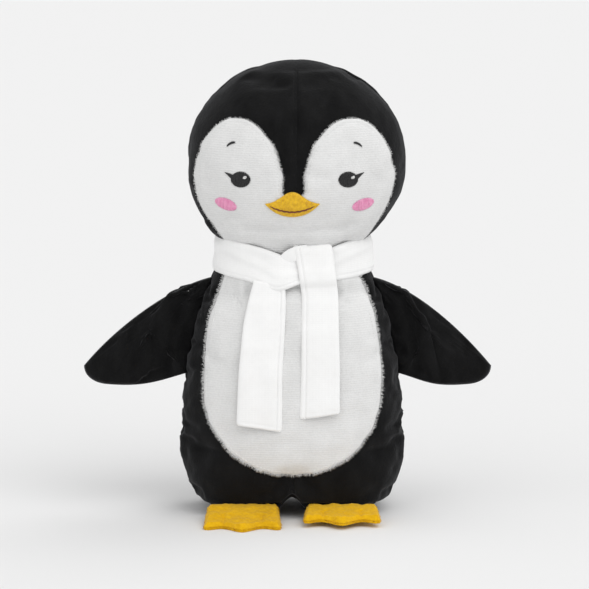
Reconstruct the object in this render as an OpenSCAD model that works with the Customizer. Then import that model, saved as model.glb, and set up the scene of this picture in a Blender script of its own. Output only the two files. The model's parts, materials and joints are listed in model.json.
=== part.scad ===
// Plush penguin with a tied scarf, sewn from cloth panels over fibre filling.
// It stands on the floor plane, faces -Y, and all lengths are in millimetres.

/* [Torso] */
// Width across the hips
torso_w = 147.6; // [130:0.2:180]
// Depth from belly to back at the hips
torso_d = 92; // [80:1:112]
// Height of the hips above the floor
hip_z = 50; // [42:1:60]
// Height of the middle of the neck above the floor
neck_z = 172; // [150:1:205]
// Width of the neck under the scarf
neck_w = 91; // [80:1:100]
// Depth of the neck under the scarf
neck_d = 70; // [60:1:78]
// Width of the torso where it would meet the floor
floor_w = 100; // [90:1:110]
// Depth of the torso where it would meet the floor
floor_d = 64; // [56:1:70]
// Height of the base seam at the sides and back
rim_h = 5.5; // [4:0.5:8]
// Extra height of the base seam above the feet
foot_seat = 3.5; // [2.5:0.5:5]
// Height of the arch between the feet
arch_h = 14; // [11:1:18]
// Half width of the arch between the feet
arch_w = 16; // [12:1:20]

/* [Head] */
// Height of the crown above the middle of the neck
head_h = 128; // [110:1:150]
// Height of the widest level of the head above the middle of the neck
brow_h = 64; // [55:1:75]
// Width of the head
head_w = 141.6; // [118:0.2:170]
// Depth of the head
head_d = 104; // [90:1:120]
// How far the head leans to the right of the torso
head_lean = 2.8; // [0:0.2:5]

/* [Cloth] */
// Thickness of the short pile cloth
cloth_t = 1.5; // [1:0.1:2]
// Thickness of the white patches
patch_t = 1.2; // [0.8:0.1:1.6]
// Clearance between layers that are sewn on each other
lay_gap = 0.6; // [0.5:0.05:0.8]
// Thickness of the embroidery and the stitched borders
thread_t = 0.6; // [0.4:0.1:1]
// Half height of the stretch of neck that bends
neck_bend = 6; // [5:0.5:8]

/* [Weight] */
// Height of the top of the bean pouch above the floor
pouch_top = 26; // [20:1:34]
// Thickness of the pouch cloth
pouch_t = 0.5; // [0.4:0.1:0.8]

/* [Belly patch] */
// Cloth left between the patch and the side of the hips
belly_margin = 15.4; // [12:0.2:20]
// Least black cloth left beside the patch where the torso narrows under the scarf
belly_keep = 6; // [5:0.5:10]
// Height of the patch's widest level
belly_z = 88; // [80:1:96]
// Height from the widest level to the patch's lower end
belly_down = 57; // [48:1:66]
// Height from the widest level to where the patch would close above
belly_up = 105; // [95:1:118]
// Distance of the patch's upper edge below the scarf's band
belly_tuck = 1; // [0.5:0.5:4]

/* [Face] */
// Width of the dark side band beside the face patch
side_band = 4; // [3:0.2:6]
// How far the face patch draws in at the top of its lobes
lobe_in = 12; // [8:1:16]
// Distance of the face patch's chin end above the scarf's band
chin_gap = 1; // [0.5:0.5:3]
// Height of the tip of the dark peak above the middle of the neck
peak_h = 44; // [40:1:48]
// Height of the top of the face lobes above the middle of the neck
lobe_h = 96; // [88:1:102]
// Half width of the dark peak between the lobes
peak_half = 6; // [5:0.2:8]
// Distance of each lobe's top from the middle of the face
lobe_x = 39; // [35:1:42]
// How far the middle of the face lies to the left of the head's middle
face_turn = 1.4; // [0:0.2:3]

/* [Eyes and cheeks] */
// Distance of each eye from the middle of the face
eye_x = 34.6; // [30:0.2:38]
// Height of the eyes above the middle of the neck
eye_h = 55.5; // [50:0.5:60]
// Width of an eye
eye_w = 13.2; // [10:0.2:16]
// Height of an eye
eye_tall = 10.9; // [8:0.1:13]
// Distance of each cheek spot from the middle of the face
cheek_x = 44.5; // [40:0.5:48]
// Height of the cheek spots above the middle of the neck
cheek_h = 37.8; // [34:0.2:42]
// Width of a cheek spot
cheek_w = 15; // [12:0.5:18]
// Height of a cheek spot
cheek_tall = 8; // [6:0.5:10]
// Distance of each brow from the middle of the face
brow_x = 41; // [37:0.5:45]
// Height of the brows above the middle of the neck
brow_up = 78; // [74:0.5:82]
// Length of a brow
brow_w = 5.6; // [4:0.2:8]

/* [Beak] */
// Width of the beak
beak_w = 34.4; // [28:0.2:42]
// Height of the beak
beak_tall = 16.6; // [12:0.2:20]
// Height of the middle of the beak above the middle of the neck
beak_h = 40; // [36:0.5:44]
// How far the padded stitching of the beak stands out
beak_t = 1.8; // [1.2:0.1:2.6]

/* [Wings] */
// How far the left wing reaches past the side of the hips
wing_left_out = 64.4; // [50:0.2:80]
// How far the right wing reaches past the side of the hips
wing_right_out = 58.1; // [45:0.2:75]
// Greatest thickness of a wing
wing_t = 15; // [11:0.5:19]
// Distance of the wing's upper seam end below the middle of the neck
wing_top = 16; // [14:1:20]
// Length of the wing's seam, measured upright
wing_seam = 65; // [55:1:75]
// Distance of the wing tip below the middle of the neck
wing_drop = 76; // [68:1:84]
// Running clearance between a wing's root and the side seam
wing_gap = 0.6; // [0.5:0.05:0.8]

/* [Feet] */
// Distance of each foot's middle from the middle of the torso
foot_x = 32.5; // [29:0.5:36]
// Width of a foot across its toes
foot_w = 50; // [42:1:56]
// Length of the left foot along its middle toe
foot_left_l = 42; // [36:1:50]
// Length of the right foot along its middle toe
foot_right_l = 35; // [30:1:42]
// Height of the right foot's toes above the floor
toe_raise = 3; // [0:0.5:3.5]
// Depth of the notches between the toes
toe_notch = 9; // [5:0.5:12]
// How much shorter the outer toes are than the middle one
toe_short = 7; // [4:0.5:10]
// Thickness of each felt layer of a foot
felt_t = 1.4; // [1:0.1:2]
// Thickness of the wadding inside a foot
wadding_t = 1.6; // [1:0.1:2.4]

/* [Scarf] */
// Thickness of the folded scarf strip
scarf_t = 2.6; // [2:0.1:3.4]
// Height of the band round the neck
collar_tall = 22; // [18:0.5:26]
// Clearance between the scarf and what it lies on
scarf_gap = 0.5; // [0.4:0.05:0.8]
// How much lower the band hangs at its front than at its back
collar_dip = 3; // [0:0.5:4]
// Width of the knot
knot_w = 35; // [28:0.5:40]
// Height of the knot
knot_tall = 24; // [20:0.5:26]
// Depth of the knot
knot_t = 8; // [6:0.5:10]
// Distance of the knot's middle to the right of the torso's middle
knot_x = 11; // [6:0.5:14]
// Width of a hanging tail
tail_w = 26; // [22:0.5:28]
// Length of the left tail
tail_left_l = 90; // [70:1:108]
// Length of the right tail
tail_right_l = 84; // [65:1:102]

/* [Hidden] */

quarter_steps = 8;             // facets across each quarter of the torso and head
pouch_rows = 3;                // rows of facets from the base seam to the top of the pouch
body_rows = 9;                 // rows of facets from there to the neck
low_rows = 8;                  // rows of facets from the neck to the brow
top_rows = 7;                  // rows of facets from the brow to the crown
base_rings = [1, 0.9, 0.78, 0.62, 0.4, 0.2];
wing_rings = [1, 0.93, 0.8, 0.6, 0.3];
wing_sides = 24;               // points round a wing, six on each stretch of its outline
patch_rings = [1, 0.93, 0.85, 0.75, 0.63, 0.49, 0.34, 0.17];
patch_sides = 48;
roundness = 2.3;               // corner exponent of the torso and head sections
base_roundness = 3;            // corner exponent of the section at the floor
full_turn = 360;

torso_top = neck_z - neck_bend;
head_bottom = neck_z + neck_bend;
crown_z = neck_z + head_h;
brow_z = neck_z + brow_h;
pinch_z = neck_z - 5;          // level below which the head's outline is as narrow as the neck
left_reach = torso_w / 2 + wing_left_out;
right_reach = torso_w / 2 + wing_right_out;
axis_x = (left_reach - right_reach) / 2;
foot_rim_z = rim_h + foot_seat;
foot_root = half_d(foot_rim_z) + lay_gap;
axis_y = (foot_root + foot_left_l - head_d / 2) / 2;
foot_t = 2 * felt_t + wadding_t;
collar_top = neck_z + 9;
knot_top = collar_top - 2;
face_x = axis_x + head_lean - face_turn;
on_cloth = lay_gap;                              // inner face of a patch
on_patch = on_cloth + patch_t + lay_gap;         // inner face of what is sewn on a patch

function mix(a, b, t) = a + (b - a) * t;
function ease(t) = let(u = min(1, max(0, t))) u * u * (3 - 2 * u);
function signed_pow(v, e) = sign(v) * pow(abs(v), e);
function backwards(list) = [for (i = [len(list) - 1:-1:0]) list[i]];
function bezier(a, b, c, d, t) = let(s = 1 - t)
    s * s * s * a + 3 * s * s * t * b + 3 * s * t * t * c + t * t * t * d;

// Fullness of the torso at a height: 0 at the neck or floor, 1 at the hips
function torso_full(z) = z > hip_z
    ? let(v = min(1, (z - hip_z) / (torso_top - hip_z))) 1 - 0.75 * v * v - 0.25 * pow(v, 6)
    : pow(1 - pow((hip_z - z) / hip_z, 1.75), 1 / 1.75);
function half_w(z) = mix(z > hip_z ? neck_w / 2 : floor_w / 2, torso_w / 2, torso_full(z));
function half_d(z) = mix(z > hip_z ? neck_d / 2 : floor_d / 2, torso_d / 2, torso_full(z));
function torso_round(z) = mix(base_roundness, roundness, ease(z / hip_z));

// Fullness of the head at a height: 0 at the neck, 1 at the brow, 0 at the crown
function head_full(z) = z < brow_z
    ? (1 + cos(180 * pow(min(1, (brow_z - z) / (brow_z - pinch_z)), 1.4))) / 2
    : pow(max(0, 1 - pow((z - brow_z) / (crown_z - brow_z), 1.9)), 1 / 1.9);
function head_half(z, neck, wide) = mix(z < brow_z ? neck / 2 : 0, wide / 2, head_full(z));
function lean(z) = axis_x + head_lean * ease((z - torso_top) / (brow_z - torso_top));

// Distance from the middle to a rounded section's edge in one direction
function reach(a, w, d, n) = pow(pow(abs(cos(a)) / w, n) + pow(abs(sin(a)) / d, n), -1 / n);

function torso_point(a, z, lift) = let(r = reach(a, half_w(z) + lift, half_d(z) + lift, torso_round(z)))
    [axis_x + r * cos(a), axis_y + r * sin(a), z];
function head_point(a, z, lift) =
    let(r = reach(a, head_half(z, neck_w, head_w) + lift, head_half(z, neck_d, head_d) + lift, roundness))
    [lean(z) + r * cos(a), axis_y + r * sin(a), z];

// Direction, seen from above, of the front surface at sideways distance x
function front_angle(x, w, d, n) = atan2(-d * pow(max(0, 1 - pow(abs(x) / w, n)), 1 / n), x);
function on_torso(x, z, lift) =
    torso_point(front_angle(x - axis_x, half_w(z), half_d(z), torso_round(z)), z, lift);
function on_head(x, z, lift) =
    head_point(front_angle(x - lean(z), head_half(z, neck_w, head_w), head_half(z, neck_d, head_d),
                           roundness), z, lift);

// Base seam and underside
function arch(x) = arch_h * (1 - ease(abs(x - axis_x) / arch_w));
function rim_z(a) = let(z = rim_h + foot_seat * pow(max(0, -sin(a)), 2))
    max(z, arch(torso_point(a, z, 0)[0]));
function base_point(a, r, lift) =
    let(edge = r == 1 ? torso_point(a, rim_z(a) + lift, -lift) : torso_point(a, rim_z(a), 0),
        x = mix(axis_x, edge[0], r),
        y = mix(axis_y, edge[1], r),
        z = r == 1 ? rim_z(a) : max(arch(x), rim_z(a) * ease((r - 0.62) / 0.38)))
    [x, y, z + lift];

function split(a, b, c, d) = [[a, b, c], [a, c, d]];
function flatten(lists) = [for (l = lists) for (e = l) e];

// Closed shell between an outer and an inner grid of points. Rows run up and columns run
// anticlockwise as seen from outside. A pair of tips closes the last row to a point. Above
// slit_row the shell is parted after slit_col, and up to that row the two columns are one.
module shell(outer, inner, wrap = false, tips = [], slit_col = -1, slit_row = 0) {
    rows = len(outer);
    cols = len(outer[0]);
    count = rows * cols;
    last = rows - 1;
    columns = [for (j = [0:wrap ? cols - 1 : cols - 2]) if (j != slit_col) j];
    function at(k, i, j) = k * count + i * cols
        + (slit_col >= 0 && i <= slit_row && j == slit_col + 1 ? slit_col : j % cols);
    function first_end(i, j) = split(at(0, i + 1, j), at(0, i, j), at(1, i, j), at(1, i + 1, j));
    function last_end(i, j) = split(at(0, i, j), at(0, i + 1, j), at(1, i + 1, j), at(1, i, j));
    points = concat(flatten(outer), flatten(inner), tips);
    skins = [for (i = [0:rows - 2]) for (j = columns) each concat(
        split(at(0, i, j), at(0, i + 1, j), at(0, i + 1, j + 1), at(0, i, j + 1)),
        split(at(1, i, j), at(1, i, j + 1), at(1, i + 1, j + 1), at(1, i + 1, j)))];
    lower = [for (j = columns) each wrap
        ? split(at(1, 0, j), at(0, 0, j), at(0, 0, j + 1), at(1, 0, j + 1))
        : split(at(0, 0, j), at(0, 0, j + 1), at(1, 0, j + 1), at(1, 0, j))];
    upper = [for (j = columns) each len(tips) == 0
        ? split(at(0, last, j + 1), at(0, last, j), at(1, last, j), at(1, last, j + 1))
        : [[at(0, last, j), 2 * count, at(0, last, j + 1)],
           [at(1, last, j + 1), 2 * count + 1, at(1, last, j)]]];
    ends = wrap ? [] : [for (i = [0:rows - 2]) each concat(first_end(i, 0), last_end(i, cols - 1))];
    slit_ends = slit_col < 0 ? [] : [for (i = [slit_row:rows - 2])
        each concat(last_end(i, slit_col), first_end(i, slit_col + 1))];
    tip_ends = wrap || len(tips) == 0 ? [] : concat(
        split(2 * count, at(0, last, 0), at(1, last, 0), 2 * count + 1),
        split(at(0, last, cols - 1), 2 * count, 2 * count + 1, at(1, last, cols - 1)));
    polyhedron(points, concat(skins, lower, upper, ends, slit_ends, tip_ends));
}

// Closed solid from rings stacked upwards, capped to a point below and a point above
module stack(rings, low, high) {
    cols = len(rings[0]);
    last = len(rings) - 1;
    low_at = len(rings) * cols;
    function at(i, j) = i * cols + j % cols;
    sides = [for (i = [0:last - 1]) for (j = [0:cols - 1])
        each split(at(i, j), at(i + 1, j), at(i + 1, j + 1), at(i, j + 1))];
    caps = [for (j = [0:cols - 1]) each [
        [at(0, j), at(0, j + 1), low_at], [at(last, j + 1), at(last, j), low_at + 1]]];
    polyhedron(concat(flatten(rings), [low, high]), concat(sides, caps));
}

// ---- Torso cloth and filling

function quarter(start) = [for (j = [0:quarter_steps]) start + j * 90 / quarter_steps];
all_round = [for (j = [0:4 * quarter_steps - 1]) j * 90 / quarter_steps];

torso_rows = pouch_rows + body_rows;

function torso_row(angles, i, lift) = [for (a = angles) torso_point(a, i <= pouch_rows
    ? mix(rim_z(a) - lift, pouch_top, i / pouch_rows)
    : mix(pouch_top, torso_top, (i - pouch_rows) / body_rows), lift)];

module torso_panel(start) {
    color("#161617")
        shell([for (i = [0:torso_rows]) torso_row(quarter(start), i, 0)],
              [for (i = [0:torso_rows]) torso_row(quarter(start), i, -cloth_t)]);
}

module front_left_panel() { torso_panel(180); }
module front_right_panel() { torso_panel(270); }
module back_right_panel() { torso_panel(0); }
module back_left_panel() { torso_panel(90); }

function base_ring(r, lift) = [for (a = all_round) base_point(a, r, lift)];

module base_panel() {
    color("#131314")
        shell([for (r = base_rings) backwards(base_ring(r, 0))],
              [for (r = base_rings) backwards(base_ring(r, cloth_t))],
              true, [base_middle, base_middle + [0, 0, cloth_t]]);
}

// Rings of the pouch, inset by a cloth thickness, from the middle of the base up to its lid
function pouch_rings(inset) = concat(
    [for (r = backwards(base_rings)) if (r < 1) base_ring(r, cloth_t + inset)],
    [for (i = [0:pouch_rows]) torso_row(all_round, i, -cloth_t - inset)]);

base_middle = [axis_x, axis_y, arch_h];
lid_middle = [axis_x, axis_y, pouch_top];

module bean_pellets() {
    color("#b9b4a6")
        stack(pouch_rings(pouch_t), base_middle + [0, 0, cloth_t + pouch_t], lid_middle - [0, 0, pouch_t]);
}

module bean_pouch() {
    inside = base_middle + [0, 0, cloth_t];
    color("#d8d5cc") {
        shell([for (ring = backwards(pouch_rings(0))) backwards(ring)],
              [for (ring = backwards(pouch_rings(pouch_t))) backwards(ring)],
              true, [inside, inside + [0, 0, pouch_t]]);
        stack([torso_row(all_round, pouch_rows, -cloth_t - pouch_t)], lid_middle - [0, 0, pouch_t],
              lid_middle);
    }
}

module torso_filling() {
    color("#f2f0ea")
        stack([for (i = [pouch_rows:torso_rows]) torso_row(all_round, i, -cloth_t)], lid_middle,
              [axis_x, axis_y, torso_top]);
}

// ---- Neck

function skin_point(a, z, lift) = z < neck_z ? torso_point(a, z, lift) : head_point(a, z, lift);

module neck_skin() {
    levels = [torso_top + lay_gap, neck_z, head_bottom - lay_gap];
    color("#101011")
        shell([for (z = levels) [for (a = all_round) skin_point(a, z, 0)]],
              [for (z = levels) [for (a = all_round) skin_point(a, z, -cloth_t)]], true);
}

module neck_filling() {
    play = neck_bend - lay_gap;
    inset = -cloth_t - lay_gap - 1;
    color("#f2f0ea")
        stack([for (side = [-1, 1]) [for (a = all_round) skin_point(a, neck_z + side * 0.4, inset)]],
              [axis_x, axis_y, neck_z - play], [axis_x, axis_y, neck_z + play]);
}

// ---- Head cloth and filling

head_levels = concat(
    [for (i = [0:low_rows]) mix(head_bottom, brow_z, i / low_rows)],
    [for (i = [1:top_rows - 1]) brow_z + (crown_z - brow_z) * sin(90 * i / top_rows)]);

function head_rows(angles, lift) = [for (z = head_levels) [for (a = angles)
    z > brow_z
        ? let(t = (z - brow_z) / (crown_z - brow_z)) head_point(a, z, lift) + [0, 0, lift * t]
        : head_point(a, z, lift)]];
crown = [lean(crown_z), axis_y, crown_z];
crown_inside = crown - [0, 0, cloth_t];

module head_panel(start) {
    color("#161617")
        shell(head_rows(quarter(start), 0), head_rows(quarter(start), -cloth_t), false,
              [crown, crown_inside]);
}

module head_front_left() { head_panel(180); }
module head_front_right() { head_panel(270); }
module head_back_right() { head_panel(0); }
module head_back_left() { head_panel(90); }

module head_filling() {
    color("#f2f0ea")
        stack(head_rows(all_round, -cloth_t), [lean(head_bottom), axis_y, head_bottom], crown_inside);
}

// ---- Belly patch

belly_half = torso_w / 2 - belly_margin;
belly_round = 2.1;
belly_top = collar_top - collar_dip - collar_tall - belly_tuck;

function belly_point(a, k, lift) =
    let(rise = (sin(a) > 0 ? belly_up : belly_down) * signed_pow(sin(a), 2 / belly_round),
        widest = half_w(min(belly_top, belly_z + rise)) - belly_keep,
        half = min(widest, belly_half * pow(abs(cos(a)), 2 / belly_round)),
        x = axis_x + k * half * sign(cos(a)),
        z = min(mix(belly_z, belly_top, k), belly_z + k * rise))
    on_torso(x, z, lift);

function belly_ring(k, lift) = [for (j = [0:patch_sides - 1])
    belly_point(full_turn * j / patch_sides, k, lift)];

module belly_patch() {
    color("#dcdcda")
        shell([for (k = patch_rings) belly_ring(k, on_cloth + patch_t)],
              [for (k = patch_rings) belly_ring(k, on_cloth)], true,
              [on_torso(axis_x, belly_z, on_cloth + patch_t), on_torso(axis_x, belly_z, on_cloth)]);
}

module belly_stitching() {
    ring = [0.985, 0.965];
    color("#e9e9e6")
        shell([for (k = ring) belly_ring(k, on_patch + thread_t)],
              [for (k = ring) belly_ring(k, on_patch)], true);
}

// ---- Face patch: two lobes that join below the dark peak

function face_outer(z) = let(t = max(0, (z - neck_z - 57) / (lobe_h - 57)))
    head_half(z, neck_w, head_w) - side_band - lobe_in * t * t - 6 * pow(t, 8);
function face_inner(z) = peak_half
    + (lobe_x - 5 - peak_half) * pow(max(0, (z - neck_z - peak_h) / (lobe_h - peak_h)), 3.5);

chin_rows = 5;                 // index of the row at the tip of the peak
lobe_cols = 9;
face_levels = concat(
    [for (i = [0:chin_rows]) mix(collar_top + chin_gap, neck_z + peak_h, i / chin_rows)],
    [for (i = [1:6]) neck_z + mix(peak_h, lobe_h, i / 6)]);

function lobe_point(side, i, t, lift) =
    let(z = face_levels[i], inner = i > chin_rows ? face_inner(z) : 0)
    on_head(face_x + side * mix(inner, face_outer(z), t), z, lift);

function face_grid(lift) = [for (i = [0:len(face_levels) - 1]) concat(
    [for (j = [lobe_cols:-1:0]) lobe_point(-1, i, 1 - pow(1 - j / lobe_cols, 1.6), lift)],
    [for (j = [0:lobe_cols]) lobe_point(1, i, 1 - pow(1 - j / lobe_cols, 1.6), lift)])];

module face_patch() {
    color("#dcdcda")
        shell(face_grid(on_cloth + patch_t), face_grid(on_cloth), false, [], lobe_cols, chin_rows);
}

// Row of stitching along the inner rim of each lobe, as a narrow band
stitch_inset = 2.6;
stitch_band = 0.9;

function rim_strip(side, lift) = [for (i = [chin_rows + 1:len(face_levels) - 1])
    [for (e = side > 0 ? [0, stitch_band] : [stitch_band, 0])
        let(z = face_levels[i]) on_head(face_x + side * (face_inner(z) + stitch_inset + e), z, lift)]];

module face_stitching() {
    color("#e9e9e6")
        for (side = [-1, 1]) shell(rim_strip(side, on_patch + thread_t), rim_strip(side, on_patch));
}

// ---- Embroidery

// Padded oval of thread, tilted by an angle, on the face at a sideways place and a height
module oval(x, z, w, tall, tilt, rise, colour, base = on_patch) {
    sides = 16;
    function spot(a, k, lift) = let(u = k * w / 2 * cos(a), v = k * tall / 2 * sin(a))
        on_head(x + u * cos(tilt) - v * sin(tilt), z + u * sin(tilt) + v * cos(tilt), lift);
    function ring(k, lift) = [for (j = [0:sides - 1]) spot(full_turn * j / sides, k, lift)];
    color(colour)
        shell([ring(1, base + rise / 2), ring(0.6, base + rise)], [ring(1, base), ring(0.6, base)], true,
              [spot(0, 0, base + rise), spot(0, 0, base)]);
}

module eye(side) { oval(face_x + side * eye_x, neck_z + eye_h, eye_w, eye_tall, 0, thread_t, "#0d0d0e"); }
module eye_left() { eye(-1); }
module eye_right() { eye(1); }

module eye_highlights() {
    for (side = [-1, 1])
        oval(face_x + side * eye_x + 0.22 * eye_w, neck_z + eye_h + 0.16 * eye_tall, 0.2 * eye_w,
             0.16 * eye_tall, -30, thread_t / 2, "#f4f4f2", on_patch + thread_t + lay_gap / 2);
}

module cheek(side) {
    oval(face_x + side * cheek_x, neck_z + cheek_h, cheek_w, cheek_tall, side * 8, thread_t, "#f0a3bd");
}
module cheek_left() { cheek(-1); }
module cheek_right() { cheek(1); }

module brow(side) {
    oval(face_x + side * brow_x, neck_z + brow_up, brow_w, 0.16 * brow_w, -side * 24, thread_t, "#111111");
}
module brow_left() { brow(-1); }
module brow_right() { brow(1); }

// Beak: a wide leaf whose upper edge is hollow near the tips and round in the middle
function beak_edge(a) = let(c = cos(a), s = sin(a))
    [beak_w / 2 * signed_pow(c, 0.9), beak_tall / 2 * s * mix(abs(s), 1, 0.35)];

module beak() {
    sides = 24;
    function spot(a, k, lift) = let(e = beak_edge(a))
        on_head(face_x + k * e[0], neck_z + beak_h + k * e[1], lift);
    function ring(k, lift) = [for (j = [0:sides - 1]) spot(full_turn * (j + 0.5) / sides, k, lift)];
    color("#eeb40c")
        shell([ring(1, on_patch + beak_t / 3), ring(0.75, on_patch + beak_t * 0.8), ring(0.4, on_patch + beak_t)],
              [ring(1, on_patch), ring(0.75, on_patch), ring(0.4, on_patch)], true,
              [spot(0, 0, on_patch + beak_t), spot(0, 0, on_patch)]);
}

module mouth_line() {
    steps = 10;
    thick = 0.7;
    function spot(t, off, lift) = let(x = 0.86 * t * beak_w / 2, dip = 4 * (1 - t * t))
        on_head(face_x + x, neck_z + beak_h - 0.6 - dip + off, lift);
    function strip(lift) = [for (off = [-thick / 2, thick / 2])
        [for (j = [0:steps]) spot(2 * j / steps - 1, off, lift)]];
    proud = on_patch + beak_t + lay_gap;
    color("#6b2a14") shell(strip(proud + thread_t), strip(proud));
}

// ---- Wings

// Outline of a wing in the upright plane of the side seam, as distance out and height
function wing_outline(out) =
    let(n = wing_sides / 4,
        top_z = neck_z - wing_top,
        low_z = top_z - wing_seam,
        tip = [out, neck_z - wing_drop],
        under = tip + [-14, -12.5],
        top = [half_w(top_z) + wing_gap, top_z],
        low = [half_w(low_z) + wing_gap, low_z])
    concat(
        [for (i = [0:n - 1]) bezier(low, low + [19, -5.5], under + [-26, -2.5], under, i / n)],
        [for (i = [0:n - 1]) bezier(under, under + [8, 1], tip + [0, -7], tip, i / n)],
        [for (i = [0:n - 1]) bezier(tip, tip + [-22, 27], top + [27, -5], top, i / n)],
        [for (i = [0:n - 1]) let(z = mix(top_z, low_z, i / n)) [half_w(z) + wing_gap, z]]);

function wing_full(r) = r >= 1 ? 0 : lay_gap + (wing_t / 2 - cloth_t - lay_gap)
    * pow(max(0, 1 - pow(r / 0.93, 2.6)), 0.6);

function wing_ring(side, r, depth) = let(
    edge = wing_outline(side < 0 ? left_reach : right_reach),
    heart = [mix(edge[0][0], edge[wing_sides / 2][0], 0.34), neck_z - wing_drop + 24])
    [for (p = edge) let(q = heart + r * (p - heart))
        [axis_x + side * q[0], axis_y + depth, q[1]]];

function wing_heart(side, depth) = let(ring = wing_ring(side, 0, depth)) ring[0];

edge_t = 0.7;                  // thickness a wing's cloth is pressed to at the seam round it

// Cloth of one face of a wing: face is -1 for the front and 1 for the back

module wing_cloth(side, face) {
    flip = side * face > 0;
    function ring(r, depth) = let(points = wing_ring(side, r, face * depth))
        flip ? backwards(points) : points;
    color("#161617")
        shell([for (r = wing_rings) ring(r, wing_full(r) + (r < 1 ? cloth_t : edge_t))],
              [for (r = wing_rings) ring(r, wing_full(r))], true,
              [wing_heart(side, face * (wing_full(0) + cloth_t)), wing_heart(side, face * wing_full(0))]);
}

module wing_filling(side) {
    inside = [for (r = wing_rings) if (r < 1) r];
    function ring(r, depth) = let(points = wing_ring(side, r, depth))
        side > 0 ? points : backwards(points);
    rings = concat([for (r = backwards(inside)) ring(r, wing_full(r))],
                   [for (r = inside) ring(r, -wing_full(r))]);
    color("#f2f0ea") stack(rings, wing_heart(side, wing_full(0)), wing_heart(side, -wing_full(0)));
}

module wing_left_front() { wing_cloth(-1, -1); }
module wing_left_back() { wing_cloth(-1, 1); }
module wing_left_filling() { wing_filling(-1); }
module wing_right_front() { wing_cloth(1, -1); }
module wing_right_back() { wing_cloth(1, 1); }
module wing_right_filling() { wing_filling(1); }

// ---- Feet: felt layers that slope from the base seam down to three toes

foot_rows = 7;
foot_cols = 12;

function foot_long(side) = side < 0 ? foot_left_l : foot_right_l;
function toe_reach(side, u) =
    foot_long(side) - toe_notch * pow(sin(180 * u), 2) - toe_short * u * u;
function sole_z(side, v) = mix(foot_rim_z - lay_gap - foot_t, side < 0 ? 0 : toe_raise,
                               ease(v / (0.62 * foot_long(side))));
function foot_point(side, i, j, level, inset) =
    let(u = 2 * j / foot_cols - 1,
        t = i / foot_rows,
        v = mix(inset, toe_reach(side, u) - inset, t),
        half = mix(0.86, 1, ease(t)) * foot_w / 2 - inset)
    [axis_x + side * foot_x + u * half, axis_y - foot_root - v, sole_z(side, v) + level];

function foot_sheet(side, level, inset) = [for (i = [foot_rows:-1:0]) [for (j = [0:foot_cols])
    foot_point(side, i, j, level, inset)]];

module foot_layer(side, low, high, inset, colour) {
    color(colour) shell(foot_sheet(side, high, inset), foot_sheet(side, low, inset));
}
module foot_sole(side) { foot_layer(side, 0, felt_t, 0, "#d99c00"); }
module foot_wadding(side) {
    foot_layer(side, felt_t + lay_gap / 2, felt_t + wadding_t - lay_gap / 2, 1.2, "#f2f0ea");
}
module foot_top(side) { foot_layer(side, felt_t + wadding_t, foot_t, 0, "#e9ae08"); }

module foot_left_top() { foot_top(-1); }
module foot_left_sole() { foot_sole(-1); }
module foot_left_wadding() { foot_wadding(-1); }
module foot_right_top() { foot_top(1); }
module foot_right_sole() { foot_sole(1); }
module foot_right_wadding() { foot_wadding(1); }

// ---- Scarf

function collar_row(t, lift) = [for (a = all_round)
    let(dip = collar_dip * (1 - sin(a)) / 2, z = collar_top - dip - collar_tall * (1 - t))
    let(p = skin_point(a, z, scarf_gap + lift)) p];

module scarf_collar() {
    levels = [0, 0.25, 0.5, 0.75, 1];
    color("#eeeeec")
        shell([for (t = levels) collar_row(t, scarf_t)], [for (t = levels) collar_row(t, 0)], true);
}

// The knot lies on the front of the band and follows it at each height
function knot_back(z) = skin_point(270, z, 2 * scarf_gap + scarf_t)[1];
knot_low = knot_top - knot_tall;

module scarf_knot() {
    sides = 20;
    levels = 8;
    middle_x = axis_x + knot_x;
    function ring(i) =
        let(b = 180 * i / levels - 90,
            k = pow(cos(b), 0.5),
            z = mix(knot_low, knot_top, (1 + sin(b)) / 2))
        [for (j = [0:sides - 1]) let(a = full_turn * j / sides)
            [middle_x + k * knot_w / 2 * signed_pow(cos(a), 0.6),
             knot_back(z) + k * knot_t / 2 * (signed_pow(sin(a), 0.8) - 1), z]];
    color("#f1f1ef")
        stack([for (i = [1:levels - 1]) ring(i)], [middle_x, knot_back(knot_low), knot_low],
              [middle_x, knot_back(knot_top), knot_top]);
}

// A tail hangs from below the knot and lies on the belly at the edge nearest the middle,
// which is top_x away from it at the top and low_x at the lower end
tail_top = knot_low - scarf_t / 2 - scarf_gap;
tail_lift = on_patch + thread_t + scarf_gap;

module tail(side, top_x, low_x, long) {
    rows = 9;
    cols = 5;
    function spot(i, j, lift) =
        let(t = i / rows,
            z = tail_top - long * (1 - t),
            near = axis_x + side * mix(low_x, top_x, t),
            x = near + side * tail_w * (side > 0 ? j / cols : 1 - j / cols))
        [x, on_torso(near, z, lift)[1], z];
    color("#eeeeec")
        shell([for (i = [0:rows]) [for (j = [0:cols]) spot(i, j, tail_lift + scarf_t)]],
              [for (i = [0:rows]) [for (j = [0:cols]) spot(i, j, tail_lift)]]);
}

module scarf_tail_left() { tail(-1, 2.4, 7.5, tail_left_l); }
module scarf_tail_right() { tail(1, 3.6, 5, tail_right_l); }

front_left_panel();
front_right_panel();
back_left_panel();
back_right_panel();
base_panel();
torso_filling();
bean_pouch();
bean_pellets();
neck_skin();
neck_filling();
head_front_left();
head_front_right();
head_back_left();
head_back_right();
head_filling();
belly_patch();
belly_stitching();
face_patch();
face_stitching();
beak();
mouth_line();
eye_left();
eye_right();
eye_highlights();
brow_left();
brow_right();
cheek_left();
cheek_right();
wing_left_front();
wing_left_back();
wing_left_filling();
wing_right_front();
wing_right_back();
wing_right_filling();
foot_left_top();
foot_left_sole();
foot_left_wadding();
foot_right_top();
foot_right_sole();
foot_right_wadding();
scarf_collar();
scarf_knot();
scarf_tail_left();
scarf_tail_right();
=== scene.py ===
import json
import math
import bpy
import numpy as np
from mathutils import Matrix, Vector
from mathutils.bvhtree import BVHTree

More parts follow.
